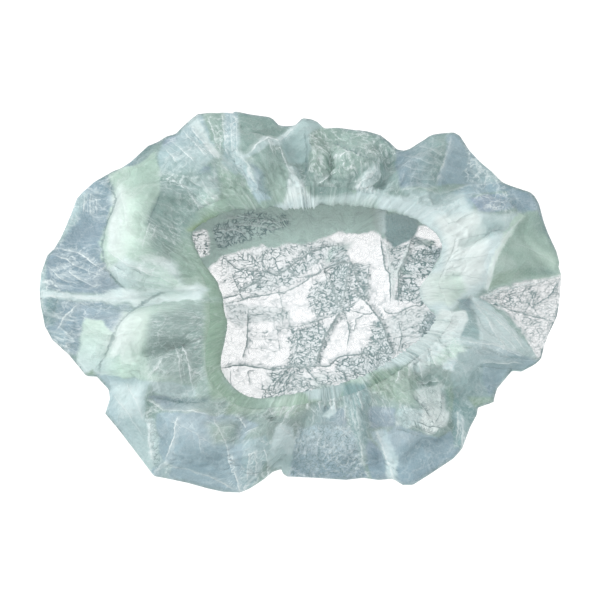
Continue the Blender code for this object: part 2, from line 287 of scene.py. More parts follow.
def cornersReach(corners, angles):
    # distance from seenMiddle to the border of a polygon in each direction
    reach = np.zeros(angles.shape)
    ux, uy = np.cos(angles), np.sin(angles)
    for (ax, ay), (bx, by) in zip(corners, corners[1:] + corners[:1]):
        dx, dy = bx - ax, by - ay
        ax, ay = ax - seenMiddle[0], ay - seenMiddle[1]
        across = ux * dy - uy * dx
        across = np.where(np.abs(across) < 1e-9, 1e-9, across)
        far, share = (ax * dy - ay * dx) / across, (ax * uy - ay * ux) / across
        reach = np.where((share >= 0) & (share <= 1) & (far > reach), far, reach)
    return reach


def sharpenOutline(points):
    # pulls the cloth near its turned edge in or out until the outline meets its corners
    for _ in range(2):
        x, y = seenPlace(points)
        out = np.hypot(x - seenMiddle[0], y - seenMiddle[1])
        edge = np.argmax(out, 0)
        column = np.arange(points.shape[1])
        angles = np.arctan2(y[edge, column] - seenMiddle[1], x[edge, column] - seenMiddle[0])
        stretch = cornersReach(outlineCorners, angles) / out[edge, column] - 1
        edgeX, edgeY = points[edge, column, 0], points[edge, column, 1]
        share = np.hypot(points[..., 0], points[..., 1]) / np.hypot(edgeX, edgeY)
        points[..., :2] += points[..., :2] * (stretch * ramp(share, *outlinePull))[..., None]
    return points


# The cloth as one grid: rings from the middle of the crown out, over the edge and in to the hem
clothGrid = {
    "around": 660,
    "rings": 150,
    "floorSteps": 90,  # how finely each zone is laid out before its rings are spaced
    "wallSteps": 60,
    "edgeSteps": 20,
    "topSteps": 110,
    "hemSteps": 5,
    "innermost": 0.012,  # share of the way out of the first ring
    "hiddenBeyond": 18,  # how far outside the hem the lower layer is out of sight
}
ringDensity = {"floor": 1.0, "hidden": 0.4, "edge": 2.2, "top": 1.5}
cutRadius = 265  # of the round sheet, middle of the crown to cut edge


def layOutSheet():
    # returns points, and for each its layer (0 below, 1 on top), how far in it lies on top, how far it has
    # left the table below, and its share of the way from the middle of the crown to the cut edge
    around, rings = clothGrid["around"], clothGrid["rings"]
    zones = (
        (floorPoint, np.linspace(clothGrid["innermost"], 1, clothGrid["floorSteps"]), "floor"),
        (wallPoint, np.linspace(0, 1, clothGrid["wallSteps"])[1:], "floor"),
        (edgePoint, np.linspace(0, 1, clothGrid["edgeSteps"])[1:], "edge"),
        (upperPoint, np.linspace(0, 1, clothGrid["topSteps"])[1:], "top"),
    )
    rows, layer, inward, weight, leaving = [], [], [], [], []
    bearings = np.arange(around) * 360 / around
    for place, steps, zone in zones:
        for step in steps:
            rows.append(place(bearings, np.full(around, step)))
            layer.append({"floor": 0.0, "edge": step, "top": 1.0}[zone])
            inward.append(step if zone == "top" else 0.0)
            leaving.append(step if place is wallPoint else 0.0 if place is floorPoint else 1.0)
            weight.append(ringDensity[zone])
    for outwards in np.linspace(capForm["hemDepth"], capForm["sheetInHem"], clothGrid["hemSteps"]):
        rows.append(rimPoint(bearings, np.full(around, outwards), 0.0))
        layer.append(1.0)
        inward.append(1.0)
        leaving.append(1.0)
        weight.append(ringDensity["top"])
    rows = np.array(rows)
    # the lower layer that the upper one hides needs fewer rings
    hemLine = rimPoint(bearings, np.zeros(around), 0.0)
    reach, hemReach = np.hypot(rows[..., 0], rows[..., 1]), np.hypot(hemLine[:, 0], hemLine[:, 1])
    hidden = (reach > hemReach + clothGrid["hiddenBeyond"]) & (np.array(layer)[:, None] == 0)
    density = np.array(weight)[:, None] * np.where(hidden, ringDensity["hidden"], 1.0)
    steps = lengthOf(np.diff(rows, axis=0))[..., 0]
    run = np.concatenate([np.zeros((1, around)), np.cumsum(steps * density[1:], 0)])
    real = np.concatenate([np.zeros((1, around)), np.cumsum(steps, 0)])
    share = np.linspace(0, 1, rings)
    points = np.empty((rings, around, 3))
    layers, inwards, leavings, flat = (np.empty((rings, around)) for _ in range(4))
    for j in range(around):
        wanted = share * run[-1, j]
        for axis in range(3):
            points[:, j, axis] = np.interp(wanted, run[:, j], rows[:, j, axis])
        layers[:, j] = np.interp(wanted, run[:, j], layer)
        inwards[:, j] = np.interp(wanted, run[:, j], inward)
        leavings[:, j] = np.interp(wanted, run[:, j], leaving)
        flat[:, j] = np.interp(wanted, run[:, j], real[:, j]) / real[-1, j]
    points[..., :2] -= footprintMiddle()
    return points, layers, inwards, leavings, flat


noiseCells = 64  # random values along each side of a noise's table, after which it repeats


def latticeNoise(x, y, seed):
    # smooth noise from -1 to 1, one swell per unit
    table = np.random.RandomState(seed).rand(noiseCells, noiseCells) * 2 - 1
    left, low = np.floor(x).astype(int), np.floor(y).astype(int)
    a, b = x - left, y - low
    a, b = a * a * a * (a * (a * 6 - 15) + 10), b * b * b * (b * (b * 6 - 15) + 10)
    p, q, r, s = left % noiseCells, (left + 1) % noiseCells, low % noiseCells, (low + 1) % noiseCells
    return (table[p, r] * (1 - a) + table[q, r] * a) * (1 - b) + (table[p, s] * (1 - a) + table[q, s] * a) * b


def facetNoise(x, y, seed):
    # flat three-sided facets that meet in sharp folds, about one unit across
    # returns height from -1 to 1 and a random shade for each facet, which the sheet paints as light and shade
    px, py = x, y
    for pace, push, first in ((0.55, 0.45, 1), (1.7, 0.2, 3)):
        px = px + push * latticeNoise(x * pace, y * pace, seed + first)
        py = py + push * latticeNoise(x * pace, y * pace, seed + first + 1)
    u, v = px - py / math.sqrt(3), 2 * py / math.sqrt(3)
    left, low = np.floor(u).astype(int), np.floor(v).astype(int)
    a, b = u - left, v - low
    over = a + b > 1
    random = np.random.RandomState(seed)
    heights = random.rand(noiseCells, noiseCells) * 2 - 1
    shades = random.rand(noiseCells, noiseCells, 2) * 2 - 1
    p, q, r, t = left % noiseCells, (left + 1) % noiseCells, low % noiseCells, (low + 1) % noiseCells
    corner = np.where(over, heights[q, t], heights[p, r])
    shareA, shareB = np.where(over, 1 - b, a), np.where(over, 1 - a, b)
    height = corner * (1 - shareA - shareB) + heights[q, r] * shareA + heights[p, t] * shareB
    return height, np.where(over, shades[p, r, 0], shades[p, r, 1])


def surfaceNormals(points):
    # unit normals of a grid that is closed round its second axis, pointing out of the cloth's outer face
    around = np.roll(points, -1, 1) - np.roll(points, 1, 1)
    along = np.gradient(points, axis=0)
    normal = np.cross(around, along)
    return normal / np.maximum(lengthOf(normal), 1e-9)


def pathDistance(x, y, path):
    # signed distance to a line of points, above 0 on its left, and how far along the line (0 to 1) its
    # nearest place lies
    best = np.full(x.shape, 1e9)
    signed, place = np.zeros(x.shape), np.zeros(x.shape)
    legs = list(zip(path[:-1], path[1:]))
    for i, ((ax, ay), (bx, by)) in enumerate(legs):
        dx, dy = bx - ax, by - ay
        t = np.clip(((x - ax) * dx + (y - ay) * dy) / (dx * dx + dy * dy), 0, 1)
        distance = np.hypot(x - ax - t * dx, y - ay - t * dy)
        side = np.where(dx * (y - ay) - dy * (x - ax) >= 0, 1, -1)
        nearer = distance < best
        best = np.where(nearer, distance, best)
        signed = np.where(nearer, side * distance, signed)
        place = np.where(nearer, (i + t) / len(legs), place)
    return signed, place


def meshFromGrid(name, points, middle=None):
    # a quad mesh from rings of points in millimetres, with a point in the middle of the first ring if given
    rings, around = points.shape[:2]
    index = np.arange(rings * around).reshape(rings, around)
    here, there = index[:-1], index[1:]
    faces = np.stack([here, np.roll(here, -1, 1), np.roll(there, -1, 1), there], -1).reshape(-1, 4).tolist()
    vertices = (points.reshape(-1, 3) / 1000).tolist()
    if middle is not None:
        faces += [(len(vertices), (j + 1) % around, j) for j in range(around)]
        vertices.append((np.asarray(middle) / 1000).tolist())
    mesh = bpy.data.meshes.new(name)
    mesh.from_pydata(vertices, [], faces)
    mesh.shade_smooth()
    piece = bpy.data.objects.new(name, mesh)
    scene.collection.objects.link(piece)
    return piece


def paint(piece, name, values):
    # a number for each point of the mesh, read by the material of the same name
    mesh = piece.data
    values = np.asarray(values, np.float32).ravel()
    if len(values) < len(mesh.vertices):  # the middle of the crown
        values = np.append(values, values[: clothGrid["around"]].mean())
    mesh.attributes.new(name, "FLOAT", "POINT").data.foreach_set("value", values)


def paintVector(piece, name, values):
    mesh = piece.data
    values = np.asarray(values, np.float32).reshape(-1, 3)
    if len(values) < len(mesh.vertices):
        values = np.vstack([values, values[: clothGrid["around"]].mean(0)])
    mesh.attributes.new(name, "FLOAT_VECTOR", "POINT").data.foreach_set("vector", values.ravel())


# Folds of the crown's floor, in plan: half width, rise, how pale and how dark they are, and their line;
# the dark is painted shadow along each ridge, the pale a painted highlight on its crest
floorFolds = (
    (1.6, 1.6, 0, 0.7, ((-45, 10), (-34, 15), (-27, 21), (-26, 25), (-18, 22), (-10, 27), (-3, 32), (8, 39),
     (17, 43), (30, 44))),
    (1.4, 1.4, 0, 0.5, ((-50, 25), (-45, 11), (-42, 1))),
    (1.4, 1.2, 0, 0.5, ((-57, 4), (-43, 8))),
    (2, 2.4, 0.1, 0.6, ((-53, 1), (-30, 6), (-12, 9), (3, 17), (20, 27), (27, 31), (40, 30), (50, 28))),
    (2.2, 3.4, 0, 1, ((28, -5), (24, -12), (18, -24), (13, -37), (10, -45))),
    (1.8, 3, 0, 0.8, ((38, 10), (50, -3), (56, -10), (60, -20), (66, -38))),
    (1.6, 2.6, 0, 0.8, ((57, 50), (60, 30), (64, 20), (64, 0))),
    (1.6, 2.6, 0, 0.8, ((80, 48), (77, 38), (73, 28), (70, 20), (70, 0))),
    (2.6, 3.6, 1, 0, ((60, 48), (65, 25), (66, 0))),
    (2.2, 3, 1, 0, ((79, 48), (70, 25), (67, 10))),
    (1.3, 1.6, 0.2, 0.6, ((58, -2), (62, -7), (68, -7), (75, -3), (90, -1))),
    (1.3, 1.8, 0, 0.6, ((49, 28), (48, 12), (48, 2))),
    (1.8, 2.4, 0, 0.8, ((-57, -48), (-40, -46), (-20, -50), (-8, -48), (8, -48), (20, -47), (28, -39),
     (62, -38))),
    (1.5, 2.2, 0, 0.9, ((-38, -5), (-39, -32), (-42, -40))),
    (1.2, 1.4, 0, 0.6, ((-38, -50), (-36, -60))),
    (1.2, 1.4, 0, 0.6, ((-50, -50), (-50, -64))),
    (1.3, 1.4, 0, 0.6, ((2, -48), (12, -60))),
    (1.3, 1.4, 0, 0.6, ((-8, -48), (-20, -62))),
    (1.2, 1.2, 0, 0.35, ((-13, 2), (-13, -20))),
    (1.2, 1.2, 0, 0.35, ((-18, -15), (-15, -35))),
    (1.4, 1.4, 0, 0.4, ((-20, -20), (5, -15), (24, -8))),
    (1.4, 1.4, 0, 0.5, ((36, -5), (52, -8))),
    (1.4, 2, 0, 0.5, ((12, 34), (22, 14), (28, -5))),
    (1.4, 1.8, 0, 0.5, ((36, 32), (32, 12), (28, -5))),
    (1.2, 1.2, 0, 0.4, ((-28, 28), (-40, 40))),
    (1.2, 1.4, 0, 0.5, ((13, 30), (4, 44))),
    (1.2, 1.4, 0, 0.6, ((-57, 36), (-48, 28), (-36, 25), (-28, 24))),
    (1.1, 1, 0, 0.4, ((-26, 25), (-28, 34), (-24, 43))),
    (1.2, 1.2, 0, 0.5, ((-10, 27), (-2, 20), (10, 22), (20, 27))),
    (1.2, 1.6, 0, 0.7, ((36, 31), (40, 20), (46, 8), (50, -3))),
    (1.1, 1, 0, 0.5, ((38, 24), (44, 21), (50, 20))),
    (1.1, 1, 0, 0.5, ((-18, 12), (-15, 6), (-13, -3), (-15, -12))),
    (1.2, 1.2, 0, 0.6, ((-2, -17), (10, -13), (22, -9))),
    (1.2, 1.6, 0, 0.7, ((33, -12), (35, -20), (33, -33))),
    (1.1, 1, 0, 0.5, ((46, -6), (40, -12), (38, -22))),
    (1.1, 1, 0, 0.5, ((70, -12), (73, -25), (70, -37))),
    (1.1, 1, 0, 0.4, ((72, -20), (80, -18), (90, -22))),
    (1.2, 1.2, 0, 0.6, ((-4, -50), (-10, -58), (-9, -67))),
    (1.1, 1, 0, 0.5, ((-22, -56), (-10, -60), (2, -62))),
    (1.2, 1.2, 0, 0.6, ((36, -50), (46, -53), (60, -48))),
    (1.1, 1, 0, 0.5, ((24, -48), (30, -52), (32, -58))),
    (1.2, 1.2, 0, 0.6, ((74, 28), (84, 31), (101, 28))),
    (1.2, 1.2, 0, 0.6, ((72, 17), (78, 9), (86, 12))),
    (1.2, 1.2, 0, 0.6, ((84, 38), (92, 36), (100, 38))),
    (1.1, 1, 0, 0.5, ((88, -6), (92, -14), (96, -18))),
    (1, 0.8, 0, 0.3, ((-37, -21), (-14, -22))),
    (1, 0.8, 0, 0.3, ((-36, -27), (-25, -26), (-12, -29))),
    (1, 0.8, 0, 0.3, ((-38, -34), (-26, -34), (-15, -36))),
    (1, 0.8, 0, 0.3, ((-34, -8), (-14, -9))),
    (1.4, 1.4, 0.8, 0, ((-60, 55), (-48, 56), (-40, 52))),
    (1.2, 1.2, 0.8, 0, ((-55, 64), (-42, 66), (-30, 64))),
    (1.2, 1.2, 0.7, 0, ((-52, 60), (-36, 60), (-22, 56), (-10, 60))),
    (1.2, 1.2, 0.6, 0, ((-34, 62), (-20, 62), (-8, 64))),
)

# Places on the floor with a tone painted on: tint, tint at the far side and its bearing, softness of
# the border, how crinkled the cloth is there, and the corners in plan. Their greys and blues are partly
# painted shade, where the cloth lifts off the table and near the rim, and partly how much of the table
# shows through the cloth
floorFacets = (
    ("contact", "floorPale", 90, 4, 0.45, ((-57, 36), (-25, 44), (15, 49), (30, 46), (8, 38), (-8, 28),
     (-26, 25), (-45, 10), (-55, 20))),
    ("floorGrey", "floorPale", 200, 2.5, 0.5, ((-45, 10), (-26, 25), (-3, 32), (17, 43), (22, 36), (4, 25),
     (-12, 14), (-28, 9))),
    ("floorGrey", "floorPale", 0, 2, 0.35, ((-57, 1), (-38, -1), (-10, -3), (-8, -12), (-38, -14), (-42, -17),
     (-53, -11))),
    ("floorGrey", "floorPale", 270, 4, 1, ((-8, -20), (12, -14), (20, -20), (14, -40), (8, -49), (-8, -48))),
    ("floorPale", "floorPale", 0, 4, 0.7, ((-22, -50), (-4, -50), (14, -62), (4, -68), (-28, -70))),
    ("floorBlue", "floorGrey", 250, 3, 1, ((24, 40), (31, 43), (36, 22), (38, 3), (31, -9), (21, -7), (18, 8),
     (21, 25))),
    ("floorPale", "floorGrey", 180, 4, 0.9, ((20, 22), (22, -6), (12, -8), (6, 6), (12, 18))),
    ("floorGrey", "floorPale", 160, 3, 0.7, ((36, 30), (49, 29), (48, 3), (38, 4))),
    ("floorBlue", "floorPale", 150, 2, 0.9, ((52, -14), (58, -12), (68, -37), (62, -42), (42, -39),
     (50, -26))),
    ("floorBlue", "floorGrey", 200, 1.5, 0.7, ((26, -42), (34, -39), (66, -39), (62, -47), (42, -53),
     (24, -50))),
    ("floorPale", "floorGrey", 0, 3, 0.5, ((14, -50), (40, -53), (50, -56), (20, -62), (12, -60))),
    ("floorGrey", "floorGrey", 0, 1.5, 0.7, ((70, 24), (69, 1), (80, 2), (91, -2), (87, 10), (84, 18),
     (78, 20))),
    ("floorGrey", "floorBlue", 0, 3, 0.9, ((77, 40), (98, 43), (103, 33), (96, 22), (80, 19), (74, 28))),
    ("floorPale", "floorPale", 350, 2, 0.35, ((60, -12), (75, -4), (90, -1), (101, -10), (92, -26),
     (68, -39))),
    ("floorBlue", "slate", 0, 3, 0.6, ((92, 44), (106, 44), (106, 24), (94, 25))),
    ("floorBlue", "slate", 0, 3, 0.6, ((90, -6), (102, -4), (102, -20), (84, -31), (86, -16))),
    ("floorGrey", "floorPale", 90, 3, 0.9, ((62, 46), (78, 46), (70, 26), (66, 26))),
    ("lifted", "lifted", 0, 0.7, 0.05, ((-78, 20), (-66, 25), (-58, 36), (-45, 40), (-28, 45), (-24, 43),
     (-4, 46), (8, 46), (15, 50), (25, 54), (50, 55), (57, 51), (61, 48), (61, 66), (60, 110), (-60, 110),
     (-130, 60), (-110, 20))),
    ("pale", "lifted", 0, 2.5, 0.9, ((-64, 58), (-40, 68), (-12, 68), (-8, 60), (-28, 52), (-45, 46),
     (-58, 43), (-62, 50))),
    ("pale", "pale", 0, 1.5, 1, ((-64, 57), (-52, 60), (-42, 57), (-44, 49), (-58, 46))),
    ("floorPale", "contact", 0, 1, 0.5, ((-81, 48), (-77, 55), (-69, 56), (-67, 50), (-66, 39), (-74, 35),
     (-81, 42))),
    ("contact", "contact", 0, 0.8, 0.1, ((-68, 25), (-61, 26), (-60, 20), (-64, 20))),
    ("floorGrey", "sage", 0, 1.5, 0.6, ((82, 52), (98, 48), (96, 44), (80, 43), (79, 50))),
    ("contact", "contact", 0, 1, 0.1, ((81, 52), (98, 48), (97, 50), (84, 55))),
    ("deepTeal", "teal", 90, 0.9, 0.1, ((61, 68), (61, 48), (66, 43), (72, 46), (78, 49), (82, 52), (86, 60),
     (82, 68))),
    ("contact", "contact", 0, 2, 0.4, ((118, 6), (140, 12), (192, 26), (194, -10), (180, -38), (168, -44),
     (150, -22), (138, -4))),
    ("floorPale", "floorGrey", 200, 2, 0.9, ((78, -56), (100, -52), (112, -62), (108, -86), (96, -100),
     (84, -96), (66, -90), (68, -78), (78, -74))),
    ("sage", "ice", 0, 1.5, 0.1, ((50, 74), (53, 57), (58, 51), (62, 56), (62, 74))),
)

# Folds of the upper layer, at places as seen from the front and above: half width, rise, pale, dark, line;
# the dark is painted shadow along a fold, the pale a painted highlight on it, partly cloth lying double
upperFolds = (
    (3, -2.2, 0, 0.6, ((-141, 88), (-135, 72), (-142, 50), (-145, 35), (-141, 18), (-130, 4), (-125, 0))),
    (1.6, 1.4, 0.6, 0, ((-108, 52), (-112, 32))),
    (1.4, 1.2, 0.5, 0, ((-103, 50), (-107, 38))),
    (1.2, -1.2, 0, 0.5, ((-137, 22), (-125, 15))),
    (1.2, -1.2, 0, 0.5, ((-120, 17), (-112, 12))),
    (3, 0.6, 0.8, 0, ((-163, 75), (-172, 55), (-180, 35))),
    (1.6, 1.2, 0.8, 0, ((-175, 33), (-160, 30), (-142, 17))),
    (1.2, 1, 0.6, 0, ((-178, 28), (-155, 17))),
    (1.6, 1.6, 0.9, 0, ((-80, 125), (-68, 110), (-62, 100))),
    (1.4, 1.4, 0.8, 0, ((-97, 108), (-88, 98))),
    (1.6, -1.4, 0, 0.7, ((-120, 100), (-108, 112))),
    (3, 1.8, 0.7, 0, ((-188, -3), (-150, -5), (-110, -4))),
    (2.4, 1.2, 0.9, 0, ((-125, -2), (-108, -1), (-95, 0))),
    (3, 1, 0.8, 0, ((-112, 0), (-90, 2), (-72, 2))),
    (1.4, -1, 0, 0.5, ((-170, -7), (-145, -10), (-120, -12))),
    (1.6, 1.4, 0.8, 0, ((-160, -10), (-168, -18), (-175, -28))),
    (2, -1, 0, 0.5, ((-175, -5), (-178, -20))),
    (3, -2, 0, 0.6, ((-95, 0), (-110, -5), (-122, -12), (-130, -22), (-138, -42), (-143, -52), (-143, -60))),
    (1.4, 1.4, 0.9, 0, ((-88, -38), (-82, -46), (-79, -55), (-77, -75))),
    (1.2, 1, 0.5, 0, ((-92, -35), (-86, -50), (-84, -70))),
    (1.2, 1.2, 0.6, 0, ((-108, -65), (-98, -50))),
    (2.2, -1.8, 0, 0.8, ((-108, -80), (-90, -81), (-65, -80))),
    (1.6, 1.4, 0.8, 0, ((-110, -80), (-97, -88), (-75, -88), (-65, -91))),
    (2.4, 1, 0.6, 0, ((-106, -95), (-108, -110), (-104, -125))),
    (1.4, 1.4, 0.9, 0, ((-86, -92), (-90, -107), (-95, -124))),
    (1.6, 2, 0.4, 0.4, ((-95, -127), (-78, -134), (-60, -140), (-45, -147))),
    (1.4, 1.2, 0.8, 0, ((-48, -120), (-44, -147))),
    (1.2, 1, 0.7, 0, ((-36, -118), (-38, -140))),
    (1.2, 1, 0.6, 0, ((-30, -100), (-40, -106))),
    (2, 1.4, 0.9, 0, ((-46, -92), (-42, -96), (-38, -101))),
    (1.2, 1.6, 0.6, 0, ((-48, 135), (-44, 105))),
    (1.6, 1.8, 0.9, 0, ((-38, 103), (-30, 112), (-24, 116), (-17, 114), (-12, 118), (-3, 128))),
    (1.2, 1.4, 0.7, 0, ((-24, 115), (-20, 105))),
    (1.4, 1.6, 0.8, 0, ((-17, 113), (-10, 95), (-6, 88))),
    (2.4, 1.4, 0.8, 0, ((-45, 105), (-38, 98), (-32, 82))),
    (1.6, -1.4, 0, 0.7, ((2, 125), (3, 105), (3, 85))),
    (1.6, -1.6, 0, 0.8, ((24, 113), (35, 106), (50, 100))),
    (1.2, 1.4, 0.7, 0, ((13, 82), (20, 87))),
    (1.2, 1.4, 0.7, 0, ((20, 80), (31, 73))),
    (2.2, 1.6, 0.8, 0, ((38, 72), (44, 84), (55, 95))),
    (1.4, 1.4, 0.7, 0, ((44, 72), (52, 84), (57, 90))),
    (2.6, 1.4, 0.5, 0, ((108, 117), (104, 105), (97, 80))),
    (1.8, 1.2, 0.35, 0, ((65, 76), (85, 79), (98, 74), (120, 80), (147, 83))),
    (2.2, 2.2, 0.7, 0, ((187, 13), (165, 7), (145, 2), (127, -4))),
    (1.4, 1.8, 0.6, 0, ((160, 58), (142, 38), (133, 8), (133, 0))),
    (1.6, 1.6, 0.5, 0.5, ((127, -4), (140, -8), (150, -20), (160, -32), (167, -42))),
    (1.2, 1.2, 0, 0.8, ((160, -18), (164, -8), (168, 2))),
    (1.2, 1.2, 0, 0.7, ((170, 5), (166, -10), (172, -20))),
    (1.2, 1, 0.6, 0, ((128, -53), (143, -53), (158, -54))),
    (1.2, 1.2, 0.6, 0, ((122, -5), (142, -20), (156, -36))),
    (1.2, -1, 0, 0.4, ((124, -56), (140, -57), (156, -57))),
    (1.2, -1.4, 0, 1, ((79, -75), (85, -83), (89, -92))),
    (1.1, -1, 0, 0.9, ((80, -96), (90, -99), (100, -101))),
    (1.1, -1, 0, 0.8, ((66, -102), (74, -104), (84, -108))),
    (1.2, 1.2, 0.9, 0, ((83, -69), (91, -66), (98, -66))),
    (1.1, 1, 0.7, 0, ((96, -74), (99, -84), (97, -94))),
    (2.6, 1.6, 0.8, 0, ((53, -103), (60, -120), (66, -138))),
    (2, 1.6, 0.5, 0, ((33, -75), (39, -100), (45, -130))),
    (1.4, 1.4, 0.8, 0, ((-5, -85), (-15, -100), (-5, -110))),
    (1.6, 1, 0.7, 0, ((-26, -115), (-24, -140))),
    (1.4, 1, 0.6, 0, ((-33, -115), (-32, -138))),
    (2.4, 1.2, 0.6, 0, ((114, -90), (114, -104), (113, -118))),
    (1.2, 1.2, 0.7, 0, ((3, -75), (5, -88))),
    (1.2, 1.2, 0.7, 0, ((12, -75), (14, -88))),
    (1.2, 1.2, 0.7, 0, ((22, -75), (24, -88))),
    (1, 0.8, 0.7, 0, ((-156, 73), (-157, 60))),
    (1, 0.8, 0.7, 0, ((-152, 75), (-152, 58))),
    (1, 0.8, 0.6, 0, ((-148, 72), (-147, 60))),
    (1.2, 1, 0.7, 0, ((-178, 28), (-165, 22), (-150, 15), (-141, 12))),
    (1.2, 1, 0.6, 0, ((-184, 20), (-172, 10), (-160, 5))),
    (1.2, 1, 0.6, 0, ((-172, 20), (-160, 10), (-146, 3))),
    (1.6, 1.4, 0.7, 0, ((-138, 32), (-124, 22), (-108, 14), (-88, 6))),
    (1.4, 1, 0.6, 0, ((-132, 14), (-112, 8), (-90, 4), (-76, 2))),
    (1.4, 1, 0.5, 0, ((-130, 78), (-126, 62), (-124, 44))),
    (1.4, -1, 0, 0.5, ((-101, 72), (-104, 62), (-110, 50))),
    (1.8, 1.4, 0.7, 0, ((-98, 86), (-86, 80), (-74, 66), (-68, 56))),
    (1.4, 1.2, 0.6, 0, ((-90, 86), (-78, 76), (-66, 66))),
    (1.4, 1.2, 0.6, 0, ((-80, 86), (-70, 80), (-62, 70))),
    (1.2, 1, 0.7, 0, ((-94, 116), (-84, 106), (-76, 98))),
    (1.2, 1, 0.7, 0, ((-86, 124), (-76, 112), (-68, 102))),
    (1.2, 1, 0.6, 0, ((-68, 134), (-62, 118), (-58, 104))),
    (1.2, 1, 0.6, 0, ((-58, 136), (-55, 120), (-53, 104))),
    (1.2, 1, 0.6, 0, ((-51, 137), (-50, 120), (-48, 104))),
    (1, 0.8, 0.35, 0, ((74, 104), (84, 101), (94, 96))),
    (1, 0.8, 0.35, 0, ((72, 96), (82, 92), (94, 90))),
    (1, 0.8, 0.3, 0, ((76, 88), (86, 84), (96, 84))),
    (1, 0.8, 0.35, 0, ((82, 113), (92, 109), (100, 103))),
    (1.4, 1.4, 0, 0.3, ((88, 58), (104, 66), (118, 72))),
    (1.4, 1.4, 0, 0.3, ((98, 50), (112, 54), (124, 60))),
    (1.6, 1.6, 0, 0.3, ((104, 36), (122, 42), (144, 46))),
    (1.6, 1.6, 0, 0.3, ((104, 22), (120, 26), (136, 28))),
    (1.4, 1.4, 0, 0.3, ((98, 12), (114, 13), (130, 10))),
    (1.4, 1.4, 0, 0.35, ((92, 4), (104, 2), (118, 3))),
    (1.2, 0.6, 0.25, 0, ((152, 38), (166, 32), (183, 21))),
    (1.2, 1.4, 0.7, 0, ((122, -5), (146, -28), (160, -44))),
    (1.2, 1.4, 0.7, 0, ((122, -5), (136, -26), (146, -44))),
    (1.2, 1.2, 0.5, 0, ((127, -12), (140, -30), (156, -46))),
    (1.2, 1.2, 0, 1, ((136, -8), (150, -14), (164, -18), (179, -21))),
    (1.1, 1, 0, 0.6, ((160, -26), (170, -23), (181, -24))),
    (1.1, 1.2, 0, 0.9, ((186, 10), (180, -1), (174, -6), (164, -13))),
    (1.1, 1, 0, 0.5, ((162, 5), (156, -6), (150, -12))),
    (1.2, 1.2, 0.7, 0, ((111, -88), (112, -98), (109, -112))),
    (1.2, 1.2, 0, 0.6, ((100, -72), (98, -86), (92, -98))),
    (1.2, 1.2, 0, 0.5, ((74, -98), (86, -102), (98, -108))),
    (1.4, 1.2, 0.4, 0, ((36, -72), (40, -92), (42, -108))),
    (1.6, -1.2, 0, 0.3, ((121, -8), (132, -26), (148, -42))),
    (1.2, 1.2, 0.7, 0, ((108, -36), (134, -39), (160, -49))),
    (1.2, -1, 0, 0.5, ((131, -44), (146, -49), (160, -51))),
    # strands below the hem
    (1.1, 1, 0.8, 0, ((-34, -78), (-24, -84), (-18, -92))),
    (1.1, 1, 0.8, 0, ((-20, -76), (-12, -84), (-14, -94))),
    (1.1, 1, 0.7, 0, ((-8, -74), (2, -80), (10, -90))),
    (1.1, 1, 0.7, 0, ((4, -72), (-2, -82), (-8, -88))),
    (1.1, 1, 0.7, 0, ((26, -72), (20, -80), (22, -88))),
    (1.1, 1, 0.7, 0, ((46, -66), (40, -76), (44, -90))),
    (1.1, 1, 0.6, 0, ((-46, -76), (-36, -74), (-26, -78))),
    # gathers at the lower right
    (1.3, 1.6, 0.9, 0, ((86, -34), (92, -44), (96, -56))),
    (1.2, 1.6, 0.9, 0, ((80, -40), (84, -50), (86, -62))),
    (1.2, 1.4, 0.8, 0, ((74, -44), (76, -54), (76, -66))),
    (1.2, 1.4, 0.8, 0, ((68, -48), (69, -58), (67, -68))),
    (1.2, -1.4, 0, 0.4, ((89, -38), (92, -50), (92, -58))),
    (1.2, -1.4, 0, 0.4, ((77, -43), (80, -54), (81, -62))),
    (1.2, -1.4, 0, 0.3, ((95, -30), (101, -40), (106, -50))),
    (1.2, 1, 0.5, 0, ((29, -72), (31, -86), (30, -98))),
    (1.4, 1.4, 0.7, 0, ((-62, -92), (-54, -108), (-47, -138))),
    (1.2, 1, 0.5, 0, ((-78, -94), (-72, -106), (-70, -120))),
    (1.2, 1, 0.5, 0, ((-92, -96), (-80, -100), (-64, -112))),
    (1.2, 1, 0.6, 0, ((-134, -76), (-124, -90), (-112, -108))),
    (1.2, 1, 0.6, 0, ((-124, -68), (-116, -82), (-112, -96))),
)
